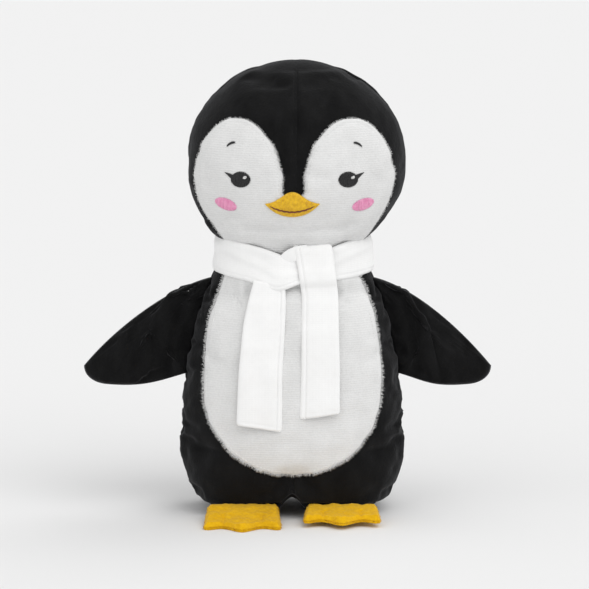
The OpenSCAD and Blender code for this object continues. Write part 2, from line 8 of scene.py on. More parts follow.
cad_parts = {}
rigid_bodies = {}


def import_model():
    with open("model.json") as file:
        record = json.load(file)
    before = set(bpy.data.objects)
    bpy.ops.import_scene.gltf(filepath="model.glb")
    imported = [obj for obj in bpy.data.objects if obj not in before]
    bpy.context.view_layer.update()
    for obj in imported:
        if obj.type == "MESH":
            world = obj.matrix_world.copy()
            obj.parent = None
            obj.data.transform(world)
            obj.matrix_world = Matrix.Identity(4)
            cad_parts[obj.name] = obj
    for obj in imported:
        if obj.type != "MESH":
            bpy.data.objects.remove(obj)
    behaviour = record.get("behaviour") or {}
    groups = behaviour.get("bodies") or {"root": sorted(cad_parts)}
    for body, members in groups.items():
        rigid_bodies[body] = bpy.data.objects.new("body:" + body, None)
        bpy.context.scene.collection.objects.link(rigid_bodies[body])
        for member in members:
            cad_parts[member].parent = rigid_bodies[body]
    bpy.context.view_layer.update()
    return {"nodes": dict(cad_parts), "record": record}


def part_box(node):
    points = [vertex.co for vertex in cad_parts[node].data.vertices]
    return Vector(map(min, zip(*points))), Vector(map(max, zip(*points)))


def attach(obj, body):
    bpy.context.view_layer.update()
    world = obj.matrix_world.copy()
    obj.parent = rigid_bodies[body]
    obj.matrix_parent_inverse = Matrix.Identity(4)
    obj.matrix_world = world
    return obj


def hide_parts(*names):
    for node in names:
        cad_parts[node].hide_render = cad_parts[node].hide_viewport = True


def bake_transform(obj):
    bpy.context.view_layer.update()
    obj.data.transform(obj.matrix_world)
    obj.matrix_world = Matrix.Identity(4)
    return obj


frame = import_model()
MM = 0.001
rng = np.random.default_rng(11)


def corner(node):
    low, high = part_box(node)
    return np.array(low) / MM, np.array(high) / MM


# ---- Sizes in millimetres, from the frame's boxes where they can be read there
panel_low, panel_high = corner("front_left_panel")
head_low, head_high = corner("head_front_left")
AXIS_X, AXIS_Y = panel_high[0], panel_high[1]
HIP_W, HIP_D = AXIS_X - panel_low[0], AXIS_Y - panel_low[1]
CROWN_Z = head_high[2]
NECK_Z, HIP_Z = CROWN_Z - 128, 50               # levels of the neck seam and of the widest hips
TORSO_TOP = NECK_Z - 6
BROW_Z = NECK_Z + 64                            # widest level of the head
NECK_W, NECK_D = 45.5, 35.0                     # half-widths and half-depths
FLOOR_W, FLOOR_D = 50.0, 32.0
HEAD_W, HEAD_D = 70.8, 52.0
SIDE_ROUND, FLOOR_ROUND = 2.3, 3.0              # corner exponents of the sections
LEAN = 2.8                                      # the head sits a little to the right
FACE_X = AXIS_X + LEAN - 1.4
CLOTH_T = 1.2                                   # thickness of the pile cloth


def mix(a, b, t):
    return a + (b - a) * t


def ease(t):
    u = np.clip(t, 0, 1)
    return u * u * (3 - 2 * u)


def unit(v):
    return v / np.maximum(np.linalg.norm(v, axis=-1, keepdims=True), 1e-9)


def signed_pow(v, power):
    return np.sign(v) * np.abs(v) ** power


def bell(v, width, power=2):
    return np.exp(-(v / width) ** power)


def torso_full(z):
    v = np.clip((z - HIP_Z) / (TORSO_TOP - HIP_Z), 0, 1)
    w = np.clip((HIP_Z - z) / HIP_Z, 0, 1)
    return np.where(z > HIP_Z, 1 - 0.75 * v ** 2 - 0.25 * v ** 6, (1 - w ** 1.75) ** (1 / 1.75))


def head_full(z):
    low = np.clip((BROW_Z - z) / (BROW_Z - NECK_Z + 5), 0, 1)
    high = np.clip((z - BROW_Z) / (CROWN_Z - BROW_Z), 0, 1)
    return np.where(z < BROW_Z, (1 + np.cos(np.pi * low ** 1.4)) / 2, (1 - high ** 1.9) ** (1 / 1.9))


def section(a, w, d, n):
    return (np.abs(np.cos(a) / w) ** n + np.abs(np.sin(a) / d) ** n) ** (-1 / n)


def torso_skin(a, z, lift=0.0):
    full = torso_full(z)
    w = mix(np.where(z > HIP_Z, NECK_W, FLOOR_W), HIP_W, full) + lift
    d = mix(np.where(z > HIP_Z, NECK_D, FLOOR_D), HIP_D, full) + lift
    r = section(a, w, d, mix(FLOOR_ROUND, SIDE_ROUND, ease(z / HIP_Z)))
    return np.stack([AXIS_X + r * np.cos(a), AXIS_Y + r * np.sin(a), z + 0 * a], -1)


def head_skin(a, z, lift=0.0):
    full = head_full(z)
    tuck = 2.6 * (1 - ease((z - 180) / 10))
    w = np.maximum(mix(np.where(z < BROW_Z, NECK_W, 0), HEAD_W, full) + lift - tuck, 0.01)
    d = np.maximum(mix(np.where(z < BROW_Z, NECK_D, 0), HEAD_D, full) + lift - tuck, 0.01)
    r = section(a, w, d, SIDE_ROUND)
    lean = AXIS_X + LEAN * ease((z - TORSO_TOP) / (BROW_Z - TORSO_TOP))
    return np.stack([lean + r * np.cos(a), AXIS_Y + r * np.sin(a), z + 0 * a], -1)


def arch(x):
    """Height of the small arch under the middle of the base seam."""
    return 14 * (1 - ease(np.abs(x - AXIS_X) / 16))


def rim_z(a):
    """Height of the base seam round the torso."""
    z = 5.5 + 3.5 * np.maximum(0, -np.sin(a)) ** 2
    return np.maximum(z, arch(torso_skin(a, z)[..., 0]))


def torso_surface(a, s):
    """s runs from -1 at the middle of the base over 0 at the base seam to 1 at the neck."""
    edge = torso_skin(a, rim_z(a))
    r = np.clip(1 + s, 0, 1)
    x = mix(AXIS_X, edge[..., 0], r)
    y = mix(AXIS_Y, edge[..., 1], r)
    under = np.stack([x, y, np.maximum(arch(x), rim_z(a) * ease((r - 0.62) / 0.38))], -1)
    side = torso_skin(a, mix(rim_z(a), TORSO_TOP + 2, np.clip(s, 0, 1)))
    return np.where((s < 0)[..., None], under, side)


def head_surface(a, s):
    """s runs from 0 inside the scarf to 1 at the crown."""
    z = np.where(s < 0.5, mix(NECK_Z + 2, BROW_Z, s * 2),
                 BROW_Z + (CROWN_Z - BROW_Z) * np.sin(np.pi / 2 * np.clip(2 * s - 1, 0, 1)))
    return head_skin(a, z)


# ---- Mesh helpers
def new_object(name, verts, faces, material=None):
    mesh = bpy.data.meshes.new(name)
    mesh.from_pydata((np.asarray(verts) * MM).tolist(), [], [list(map(int, f)) for f in faces])
    mesh.validate()
    mesh.polygons.foreach_set("use_smooth", [True] * len(mesh.polygons))
    obj = bpy.data.objects.new(name, mesh)
    bpy.context.scene.collection.objects.link(obj)
    if material is not None:
        mesh.materials.append(material)
    return obj


def grid_faces(rows, cols, wrap, start=0, flip=False):
    i, j = np.meshgrid(np.arange(rows - 1), np.arange(cols if wrap else cols - 1), indexing="ij")
    k = (j + 1) % cols
    quads = np.stack([i * cols + j, i * cols + k, (i + 1) * cols + k, (i + 1) * cols + j], -1).reshape(-1, 4)
    return (quads[:, ::-1] if flip else quads) + start


def rim_faces(outer, inner, closed):
    """Quads that join two lines of point numbers, outer on the right hand of the outside."""
    n = len(outer)
    steps = [(k, (k + 1) % n) for k in range(n if closed else n - 1)]
    return [(outer[k], inner[k], inner[after], outer[after]) for k, after in steps]


def shell(outer, inner, wrap=False):
    """Closed shell of two grids. Rows run up and columns anticlockwise as seen from outside."""
    rows, cols = outer.shape[:2]
    n = rows * cols
    at = np.arange(n).reshape(rows, cols)
    faces = [*grid_faces(rows, cols, wrap), *grid_faces(rows, cols, wrap, n, True)]
    faces += rim_faces(at[0], at[0] + n, wrap)
    faces += rim_faces(at[-1][::-1], at[-1][::-1] + n, wrap)
    if not wrap:
        faces += rim_faces(at[::-1, 0], at[::-1, 0] + n, False)
        faces += rim_faces(at[:, -1], at[:, -1] + n, False)
    return np.concatenate([outer.reshape(-1, 3), inner.reshape(-1, 3)]), faces


def capped(grid):
    """Closed solid of a grid that wraps round, capped to a point at each end."""
    rows, cols = grid.shape[:2]
    n = rows * cols
    faces = list(grid_faces(rows, cols, True))
    faces += [(j, n, (j + 1) % cols) for j in range(cols)]
    top = (rows - 1) * cols
    faces += [(top + (j + 1) % cols, n + 1, top + j) for j in range(cols)]
    return np.concatenate([grid.reshape(-1, 3), [grid[0].mean(0)], [grid[-1].mean(0)]]), faces


def normals(grid, wrap):
    if wrap:
        along = np.roll(grid, -1, 1) - np.roll(grid, 1, 1)
    else:
        along = np.gradient(grid, axis=1)
    return unit(np.cross(along, np.gradient(grid, axis=0)))


def area_of(grid, wrap=False):
    g = np.concatenate([grid, grid[:, :1]], 1) if wrap else grid
    a, b = g[1:, 1:] - g[:-1, :-1], g[1:, :-1] - g[:-1, 1:]
    return float(np.linalg.norm(np.cross(a, b), axis=-1).sum() / 2 * MM * MM)


def cubic(field, t, axis, wrap=False):
    """Field read at fractional row or column numbers t with a smooth curve through its values."""
    n = field.shape[axis]
    i = np.floor(t).astype(int)
    f = (t - i).reshape([-1 if k == axis else 1 for k in range(field.ndim)])
    p = [np.take(field, (i + k) % n if wrap else np.clip(i + k, 0, n - 1), axis) for k in (-1, 0, 1, 2)]
    return p[1] + f / 2 * (p[2] - p[0] + f * (2 * p[0] - 5 * p[1] + 4 * p[2] - p[3]
                                               + f * (3 * (p[1] - p[2]) + p[3] - p[0])))


def waves(p, size, seed, count=7):
    """Soft random field between about -1 and 1 whose features have that size in millimetres."""
    r = np.random.default_rng(seed)
    total = 0
    for _ in range(count):
        k = r.normal(size=p.shape[-1])
        k *= 2 * np.pi / (size * r.uniform(0.7, 1.5)) / np.linalg.norm(k)
        total = total + np.sin(p @ k + r.uniform(0, 2 * np.pi))
    return total / math.sqrt(count)


# ---- Cloth simulation: a stuffed skin swells between its pinned seams
FRAMES = 18


def swell(grid, pinned, pressure, grow, cap):
    """Returns how far each point of the grid moves, in millimetres."""
    verts, faces = capped(grid)
    obj = new_object("swell", verts, faces)
    group = obj.vertex_groups.new(name="seam")
    group.add([int(i) for i in np.flatnonzero(np.append(pinned.reshape(-1), [True, True]))], 1.0, "REPLACE")
    cloth = obj.modifiers.new("Cloth", "CLOTH")
    set_up = cloth.settings
    for key, value in (("quality", 5), ("mass", 0.15), ("vertex_group_mass", "seam"), ("shrink_min", -grow),
                       ("use_pressure", True), ("uniform_pressure_force", pressure), ("tension_stiffness", 12),
                       ("compression_stiffness", 12), ("shear_stiffness", 4), ("bending_stiffness", 0.15)):
        setattr(set_up, key, value)
    set_up.effector_weights.gravity = 0
    cloth.point_cache.frame_start = 1
    cloth.point_cache.frame_end = FRAMES
    for step in range(1, FRAMES + 1):
        bpy.context.scene.frame_set(step)
    shape = obj.evaluated_get(bpy.context.evaluated_depsgraph_get()).to_mesh()
    flat = np.empty(len(shape.vertices) * 3)
    shape.vertices.foreach_get("co", flat)
    bpy.data.objects.remove(obj)
    bpy.context.scene.frame_set(1)
    move = flat.reshape(-1, 3)[:-2].reshape(grid.shape) / MM - grid
    size = np.linalg.norm(move, axis=-1, keepdims=True)
    return move * np.minimum(1, cap / np.maximum(size, 1e-6))


def soft_body(surface, rows, cols, coarse_rows, coarse_cols, pins, pressure, grow, cap):
    """Fine grid of a surface plus the swelling that its coarse grid shows in the simulation."""
    def grid(s, count):
        a, t = np.meshgrid(np.arange(count) * 2 * np.pi / count, s)
        return surface(a, t)
    coarse = grid(coarse_rows, coarse_cols)
    move = swell(coarse, pins(coarse_rows, coarse_cols), pressure, grow, cap)
    move = cubic(move, np.interp(rows, coarse_rows, np.arange(len(coarse_rows))), 0)
    move = cubic(move, np.arange(cols) * coarse_cols / cols, 1, True)
    return grid(rows, cols), move


def seam_pull(grid, seam_cols, depth, gather, seed):
    """Inward pull of upright seams and of the small gathers beside them, in millimetres."""
    pull = np.zeros(grid.shape[:2])
    for k, col in enumerate(seam_cols):
        away = np.linalg.norm(grid - grid[:, col:col + 1], axis=-1)
        height = grid[:, col:col + 1, 2] + 0 * away
        cols = grid.shape[1]
        side = np.sign((np.arange(cols) - col + cols // 2) % cols - cols // 2)
        line = np.stack([height, side * 40 + 0 * away], -1)
        fold = waves(line, 9, seed + k) + 0.6 * waves(line, 5, seed + 20 + k)
        pull += depth[k] * (bell(away, 1.6) + 0.45 * bell(away, 7))
        pull += gather[k] * np.clip(fold, -0.6, 1.5) * np.exp(-away / 6) * (1 - np.exp(-away / 1.2))
    return pull


def save_bvh(*names):
    verts, faces = [], []
    for obj in (bpy.data.objects[name] for name in names):
        start = len(verts)
        verts += [v.co / MM for v in obj.data.vertices]
        faces += [[start + v for v in p.vertices] for p in obj.data.polygons]
    return BVHTree.FromPolygons(verts, faces)


def drape(tree, x, z, lift):
    """Points of the front surface at places (x, z), lifted along its normal."""
    flat = np.stack([np.asarray(x, float).reshape(-1), np.asarray(z, float).reshape(-1)], -1)
    out = np.empty((len(flat), 3))
    lifts = np.broadcast_to(np.asarray(lift, float), np.asarray(x).shape).reshape(-1)
    for n, (px, pz) in enumerate(flat):
        hit, normal, _, _ = tree.ray_cast(Vector((px, -200, pz)), Vector((0, 1, 0)))
        if hit is None:
            hit, normal, _, _ = tree.find_nearest(Vector((px, AXIS_Y - 10, pz)))
        out[n] = hit + normal * lifts[n]
    return out.reshape(np.asarray(x).shape + (3,))


# ---- Materials
BLACK, WHITE = (0, 0, 0), (1, 1, 1)


def grey(value):
    return (value, value, value)


def scaled(colour, share):
    return tuple(c * share for c in colour)


class Surface:
    """Builder of one material, whose textures lie in the object's own coordinates."""

    def __init__(self, name):
        self.material = bpy.data.materials.new(name)
        self.material.use_nodes = True
        self.tree = self.material.node_tree
        self.shader = self.tree.nodes["Principled BSDF"]
        self.where = self.node("TexCoord").outputs["Object"]

    def node(self, kind, links=(), **values):
        made = self.tree.nodes.new("ShaderNode" + kind)
        for key, value in values.items():
            if hasattr(made, key):
                setattr(made, key, value)
            else:
                made.inputs[key.replace("_", " ")].default_value = value
        for socket, source in links:
            self.tree.links.new(source, made.inputs[socket])
        return made

    def noise(self, scale, detail=2.0, roughness=0.5, stretch=None):
        where = self.where
        if stretch:
            where = self.node("Mapping", [("Vector", where)], Scale=stretch).outputs["Vector"]
        made = self.node("TexNoise", [("Vector", where)], Scale=scale, Detail=detail, Roughness=roughness)
        return made.outputs["Fac"]

    def wave(self, way, scale, distortion, detail, detail_scale):
        made = self.node("TexWave", [("Vector", self.where)], bands_direction=way, Scale=scale,
                         Distortion=distortion, Detail=detail, Detail_Scale=detail_scale)
        return made.outputs["Fac"]

    def ramp(self, source, low, dark, high, light):
        made = self.node("ValToRGB", [("Fac", source)])
        for mark, place, colour in zip(made.color_ramp.elements, (low, high), (dark, light)):
            mark.position = place
            mark.color = (*colour, 1)
        return made.outputs["Color"]

    def mixed(self, kind, amount, a, b):
        made = self.node("Mix", data_type="RGBA", blend_type=kind)
        for socket, value in zip((0, 6, 7), (amount, a, b)):
            if isinstance(value, bpy.types.NodeSocket):
                self.tree.links.new(value, made.inputs[socket])
            else:
                made.inputs[socket].default_value = (*value, 1) if socket else value
        return made.outputs[2]

    def two_tone(self, source, dark, light):
        """Colour that runs from dark to light with a noise."""
        return self.mixed("MIX", self.ramp(source, 0.3, BLACK, 0.7, WHITE), dark, light)

    def shaded(self, tone, source, low, shade, high, amount):
        """Colour darkened by the shade where a noise is low."""
        return self.mixed("MULTIPLY", amount, tone, self.ramp(source, low, shade, high, WHITE))

    def finish(self, tone, relief, **constants):
        """Sets the colour, the constants and relief layers of (height, strength, distance in metres)."""
        self.tree.links.new(tone, self.shader.inputs["Base Color"])
        last = None
        for height, strength, distance in relief:
            links = [("Height", height)] + ([] if last is None else [("Normal", last)])
            last = self.node("Bump", links, Strength=strength, Distance=distance).outputs["Normal"]
        self.tree.links.new(last, self.shader.inputs["Normal"])
        for key, value in constants.items():
            self.shader.inputs[key.replace("_", " ")].default_value = value
        return self.material


def pile(name, dark, light, sheen, tint, ribs=0.0, contrast=1.0):
    """Short pile cloth: fine tufts, brushed streaks and, for the patches, faint level ribs."""
    made = Surface(name)
    tufts = made.noise(850, 2.5, 0.6)
    brushed = made.noise(90, 3, 0.6, (1.0, 1.0, 0.45))
    tone = made.two_tone(brushed, dark, light)
    tone = made.shaded(tone, tufts, 0.3, grey(0.62), 0.65, 0.55 * contrast)
    tone = made.shaded(tone, made.noise(22, 2), 0.3, grey(0.86), 0.7, 0.7 * contrast)
    relief = [(brushed, 0.35 * contrast, 0.0016), (tufts, 0.6 * contrast, 0.0007)]
    if ribs:
        rows = made.wave("Z", ribs, 2.2, 2.0, 2.5)
        relief.insert(1, (rows, 0.2, 0.0006))
        tone = made.shaded(tone, rows, 0.0, grey(0.93), 1.0, 0.6)
    return made.finish(tone, relief, Roughness=0.95, Specular_IOR_Level=0.18, Sheen_Weight=sheen,
                       Sheen_Roughness=0.42, Sheen_Tint=(*tint, 1))


def knit(name, colour):
    """Fine jersey: upright wales crossed by courses."""
    made = Surface(name)
    soft = made.noise(260, 3, 0.55)
    wales = made.wave("X", 330, 1.0, 1.5, 3.0)
    courses = made.wave("Z", 260, 1.2, 1.0, 1.0)
    tone = made.ramp(wales, 0.0, scaled(colour, 0.975), 0.7, colour)
    tone = made.shaded(tone, soft, 0.25, grey(0.975), 0.6, 0.8)
    relief = [(soft, 0.12, 0.0005), (wales, 0.12, 0.0002), (courses, 0.15, 0.0002)]
    return made.finish(tone, relief, Roughness=0.82, Specular_IOR_Level=0.25, Sheen_Weight=0.25,
                       Sheen_Roughness=0.5)


def felt(name, dark, light):
    """Matted felt with crossing fibres and small pills."""
    made = Surface(name)
    matted = made.noise(420, 4, 0.65)
    fibres = made.noise(700, 2, 0.5, (0.25, 1.0, 1.0))
    tone = made.two_tone(matted, dark, light)
    tone = made.shaded(tone, made.noise(45, 2), 0.3, (0.82, 0.8, 0.78), 0.65, 0.8)
    return made.finish(tone, [(matted, 0.6, 0.0012), (fibres, 0.5, 0.0005)], Roughness=0.95,
                       Specular_IOR_Level=0.12, Sheen_Weight=0.2, Sheen_Roughness=0.5,
                       Sheen_Tint=(1.0, 0.85, 0.45, 1))


def thread(name, dark, light, rough=0.5):
    """Embroidery thread: twisted strands with a soft gloss."""
    made = Surface(name)
    tone = made.two_tone(made.noise(500, 2), dark, light)
    return made.finish(tone, [(made.noise(2600, 2), 0.4, 0.0002)], Roughness=rough, Specular_IOR_Level=0.45,
                       Sheen_Weight=0.15)


def loose_fibre(name, colour):
    made = Surface(name)
    tangle = made.noise(160, 5, 0.7)
    tone = made.ramp(tangle, 0.3, scaled(colour, 0.85), 0.7, colour)
    return made.finish(tone, [(tangle, 0.8, 0.002)], Roughness=0.9)


by_slot = {slot: make(slot, *values) for slot, make, *values in (
    ("black_minky", pile, (0.003, 0.003, 0.0032), (0.009, 0.009, 0.0093), 0.12, (0.75, 0.76, 0.8)),
    ("white_minky", pile, (0.78, 0.78, 0.775), (0.83, 0.83, 0.825), 0.15, WHITE, 210.0, 0.35),
    ("scarf_jersey", knit, (0.93, 0.93, 0.925)),
    ("yellow_felt", felt, (0.75, 0.4, 0.003), (0.9, 0.53, 0.008)),
    ("thread_black", thread, (0.004, 0.004, 0.005), (0.012, 0.012, 0.013)),
    ("thread_white", thread, (0.74, 0.74, 0.73), (0.86, 0.86, 0.85)),
    ("thread_yellow", thread, (0.7, 0.39, 0.006), (0.93, 0.6, 0.015)),
    ("thread_brown", thread, (0.09, 0.008, 0.003), (0.17, 0.02, 0.006)),
    ("thread_pink", thread, (0.84, 0.3, 0.52), (0.93, 0.43, 0.64), 0.6),
    ("fibre_filling", loose_fibre, (0.88, 0.87, 0.84)),
    ("bean_cloth", knit, (0.66, 0.64, 0.58)),
    ("bean_pellets", loose_fibre, (0.6, 0.58, 0.52)))}
for part in frame["record"]["subparts"]:
    mesh = frame["nodes"][part["node"]].data
    mesh.materials.clear()
    mesh.materials.append(by_slot[part["material_slot"]])


def piece(name, mesh, slot, body, *nodes):
    """New piece of a slot's material that rides on a body and replaces the CAD nodes named."""
    obj = new_object(name, *mesh, by_slot[slot])
    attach(obj, body)
    if nodes:
        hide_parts(*nodes)
    return obj


def bending(name, mesh, slot, node):
    """New piece that replaces a CAD node, with its transform baked into its points."""
    obj = new_object(name, *mesh, by_slot[slot])
    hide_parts(node)
    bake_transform(obj)
    return obj


def filling(name, grid, slot, body, node):
    piece(name, capped(grid), slot, body, node)


def pile_panel(node, grid, outward, body):
    """A pile panel from part of a grid, with its thickness inwards."""
    obj = piece(node + "_cloth", shell(grid, grid - outward * CLOTH_T), "black_minky", body, node)


# ---- Torso: four panels and a base, filled
COLS = 256
QUARTER = COLS // 4
SEAMS = [0, QUARTER, 2 * QUARTER, 3 * QUARTER]
BASE_ROWS = 20
torso_rows = np.concatenate([np.linspace(-0.97, 0, BASE_ROWS, endpoint=False), np.linspace(0, 1, 100)])
coarse_rows = np.concatenate([np.linspace(-0.97, 0, 6, endpoint=False), np.linspace(0, 1, 34)])


def torso_pins(rows, cols):
    pins = np.zeros((len(rows), cols), bool)
    pins[rows <= 0.001] = True
    pins[-1] = True
    pins[:, ::cols // 4] = True
    pins[rows > 0.15, 3 * cols // 4] = False
    return pins


skin, move = soft_body(torso_surface, torso_rows, COLS, coarse_rows, 80, torso_pins, 3.0, 0.05, 2.6)
torso_grid = skin + move
out = normals(torso_grid, True)
low_side = bell(torso_grid[..., 2] - 45, 30)
pull = seam_pull(torso_grid, SEAMS, [1.7, 1.5, 1.7, 0], [1.0, 0.6, 1.0, 0], 3)
pull += seam_pull(torso_grid, SEAMS[3:], [1.5], [0.6], 9) * (1 - ease((torso_grid[..., 2] - 26) / 9))
pull *= 0.55 + 0.75 * low_side
rim = torso_grid[BASE_ROWS][None]
off_rim = np.linalg.norm(torso_grid - rim, axis=-1)
pull += 1.5 * bell(off_rim, 1.8) + 0.7 * bell(off_rim, 6)
pull += 0.35 * waves(torso_grid, 26, 5) + 0.12 * waves(torso_grid, 9, 6)
pull *= np.where(torso_rows < -0.02, 0.25, 1)[:, None] * np.where(torso_rows > 0.97, 0.4, 1)[:, None]
torso_grid = torso_grid - out * pull[..., None]
torso_grid[..., 2] = np.maximum(torso_grid[..., 2], 0.05)
out = normals(torso_grid, True)


def panel_slice(grid, first, quarter):
    cols = np.arange(quarter * QUARTER, (quarter + 1) * QUARTER + 1) % COLS
    return grid[first:][:, cols]


for quarter, name in enumerate(("back_right", "back_left", "front_left", "front_right")):
    pile_panel(name + "_panel", panel_slice(torso_grid, BASE_ROWS, quarter),
               panel_slice(out, BASE_ROWS, quarter), "torso")
base_grid, base_out = torso_grid[:BASE_ROWS + 1], out[:BASE_ROWS + 1]
base_verts, base_faces = capped(base_grid)
base_mesh = base_verts[:-1], base_faces[:-COLS]
base = piece("base_panel_cloth", base_mesh, "black_minky", "torso", "base_panel")
low = int(np.argmax(torso_grid[BASE_ROWS:, :, 2].min(1) > 27)) + BASE_ROWS
pouch = (torso_grid - out * 2.6)[:low + 1:2, ::4]
filling("bean_pouch_cloth", pouch, "bean_cloth", "torso", "bean_pouch")
bead_verts, bead_faces = [], []
octa = np.array([(1, 0, 0), (-1, 0, 0), (0, 1, 0), (0, -1, 0), (0, 0, 1), (0, 0, -1)], float)
octa_faces = [(0, 2, 4), (2, 1, 4), (1, 3, 4), (3, 0, 4), (2, 0, 5), (1, 2, 5), (3, 1, 5), (0, 3, 5)]
for layer_z in (11.5, 15.6, 19.7):
    for ix in range(-12, 13):
        for iy in range(-7, 8):
            spot = np.array([AXIS_X + ix * 4.4 + (layer_z % 2), AXIS_Y + iy * 4.2, layer_z])
            spot = spot + rng.normal(size=3) * 0.25
            if abs(spot[0] - AXIS_X) < 9 or np.hypot((spot[0] - AXIS_X) / 55, (spot[1] - AXIS_Y) / 30) > 1:
                continue
            bead_faces += [tuple(len(bead_verts) + v for v in f) for f in octa_faces]
            bead_verts += list(spot + octa * 2.0)
piece("bean_pellet_beads", (bead_verts, bead_faces), "bean_pellets", "torso", "bean_pellets")
filling("torso_fibre", (torso_grid - out * 3.2)[low::3, ::4], "fibre_filling", "torso", "torso_filling")

# ---- Head: four panels, filled
head_rows = np.concatenate([np.linspace(0, 0.5, 52, endpoint=False), np.linspace(0.5, 0.985, 60)])
head_coarse = np.concatenate([np.linspace(0, 0.5, 16, endpoint=False), np.linspace(0.5, 0.985, 18)])


def head_pins(rows, cols):
    pins = np.zeros((len(rows), cols), bool)
    pins[0] = True
    pins[rows > 0.86] = True
    pins[:, ::cols // 4] = True
    pins[rows < 0.5, 3 * cols // 4] = False
    return pins


skin, move = soft_body(head_surface, head_rows, COLS, head_coarse, 80, head_pins, 3.0, 0.02, 1.5)
head_grid = skin + move
out = normals(head_grid, True)
pull = seam_pull(head_grid, SEAMS, [0.8, 0.9, 0.8, 0], [0.35, 0.4, 0.35, 0], 41)
pull += seam_pull(head_grid, SEAMS[3:], [0.9], [0.25], 45) * ease((head_grid[..., 2] - 222) / 10)
pull = np.minimum(pull, 1.2) + 0.35 * waves(head_grid, 30, 7) + 0.1 * waves(head_grid, 10, 8)
pull *= (1 - 0.75 * ease((head_rows - 0.72) / 0.2))[:, None]
head_grid = head_grid - out * pull[..., None]
out = normals(head_grid, True)
tip = head_grid[-1].mean(0) + [0, 0, 0.25]
head_grid = np.concatenate([head_grid, np.broadcast_to(mix(head_grid[-1], tip, 0.97), (1, COLS, 3))])
out = np.concatenate([out, np.broadcast_to([0, 0, 1.0], (1, COLS, 3))])
for quarter, name in enumerate(("head_back_right", "head_back_left", "head_front_left", "head_front_right")):
    pile_panel(name, panel_slice(head_grid, 0, quarter), panel_slice(out, 0, quarter), "head")
filling("head_fibre", (head_grid - out * 3.0)[::3, ::4], "fibre_filling", "head", "head_filling")

# ---- Neck: cloth inside the scarf
a, z = np.meshgrid(np.arange(96) * 2 * np.pi / 96, np.linspace(162, 183, 12))
tuck = 3.4 - 1.8 * bell(z - NECK_Z, 5, 4)
neck_grid = np.where((z < NECK_Z)[..., None], torso_skin(a, z, -tuck), head_skin(a, z, 1.8 - tuck))
neck = bending("neck_cloth", shell(neck_grid, neck_grid - normals(neck_grid, True), True), "black_minky",
               "neck_skin")

# ---- Patches sewn on the belly and the face
torso_tree = save_bvh("front_left_panel_cloth", "front_right_panel_cloth", "base_panel_cloth")
head_tree = save_bvh("head_front_left_cloth", "head_front_right_cloth")
PATCH_T = 1.2


def fringe(name, edge, outward, normal, length, every, body, slot, seed, radius=0.16):
    """Pile that stands out round the edge of a patch: thin tapered tufts."""
    r = np.random.default_rng(seed)
    steps = np.linalg.norm(np.roll(edge, -1, 0) - edge, axis=1)
    verts, faces = [], []
    for k in range(len(edge)):
        for _ in range(r.poisson(steps[k] / every)):
            t = r.uniform()
            n = (k + 1) % len(edge)
            base = mix(edge[k], edge[n], t) + normal[k] * r.uniform(-0.5, 0.5)
            way = outward[k] + 0.45 * r.normal(size=3) + normal[k] * r.uniform(-0.1, 0.5)
            way /= np.linalg.norm(way)
            side = np.cross(way, normal[k])
            side /= max(np.linalg.norm(side), 1e-6)
            long = length * r.uniform(0.5, 1.15)
            droop = way * long - normal[k] * long * 0.12
            root, half = base - way * 0.8, base + way * long * 0.5
            at = len(verts)
            verts += [root - side * radius, root + side * radius, root + normal[k] * radius * 1.6,
                      half - side * radius * 0.7, half + side * radius * 0.7, half + normal[k] * radius,
                      base + droop]
            for i, j in ((0, 1), (1, 2), (2, 0)):
                faces += [(at + i, at + j, at + 3 + j, at + 3 + i), (at + 3 + i, at + 3 + j, at + 6)]
            faces.append((at, at + 2, at + 1))
    return piece(name, (verts, faces), slot, body)


def edge_frames(edge, normal):
    """Directions out of a closed edge, in its surface."""
    return unit(np.cross(np.roll(edge, -1, 0) - np.roll(edge, 1, 0), normal))


def puffed(k):
    """Height of a patch's face: full inside, rounded down at its edge."""
    return 0.25 + PATCH_T * np.sqrt(np.clip(1 - k ** 14, 0, 1))


BELLY_HALF, BELLY_Z, BELLY_UP, BELLY_DOWN, BELLY_TOP = 58.4, 88.0, 105.0, 57.0, 164.0
BELLY_ROUND = 2 / 2.1
SEWN = 0.12                     # gap between a patch and the cloth that it is sewn on


def belly_rise(angle):
    """Height of the belly patch's outline over its widest level."""
    return np.where(np.sin(angle) > 0, BELLY_UP, BELLY_DOWN) * signed_pow(np.sin(angle), BELLY_ROUND)


rings = 1 - np.linspace(0, 1, 34) ** 1.25 * 0.97
turn = np.arange(200) * 2 * np.pi / 200
angle, k = np.meshgrid(turn, rings)
wobble = 1 + 0.006 * waves(np.stack([np.cos(angle) * 60, np.sin(angle) * 60], -1), 13, 17)
x = AXIS_X + k * wobble * BELLY_HALF * signed_pow(np.cos(angle), BELLY_ROUND)
z = np.minimum(mix(BELLY_Z, BELLY_TOP, k), BELLY_Z + k * wobble * belly_rise(angle))
ground = drape(torso_tree, x, z, 0.0)
face_out = normals(ground, True)
face_out[-1] = face_out[-2]
top = ground + face_out * puffed(k)[..., None]
top[..., 1] -= 0.25 * waves(top[..., [0, 2]], 20, 19)
verts, faces = shell(top, ground + face_out * SEWN, True)
count = top.shape[0] * top.shape[1]
last = count - top.shape[1]
faces = faces[:-top.shape[1]]
verts = np.concatenate([verts, [top[-1].mean(0)], [ground[-1].mean(0) - [0, SEWN, 0]]])
n = top.shape[1]
faces += [(last + j, last + (j + 1) % n, 2 * count) for j in range(n)]
faces += [(count + last + (j + 1) % n, count + last + j, 2 * count + 1) for j in range(n)]
belly = piece("belly_patch_cloth", (verts, faces), "white_minky", "torso", "belly_patch")
line, facing = ground[0] + face_out[0] * 0.5, face_out[0]
belly_fringe = fringe("belly_patch_fringe", line, edge_frames(ground[0], facing), facing, 2.3, 0.2, "torso",
                      "white_minky", 23)
wide, tall = 0.132, 0.15

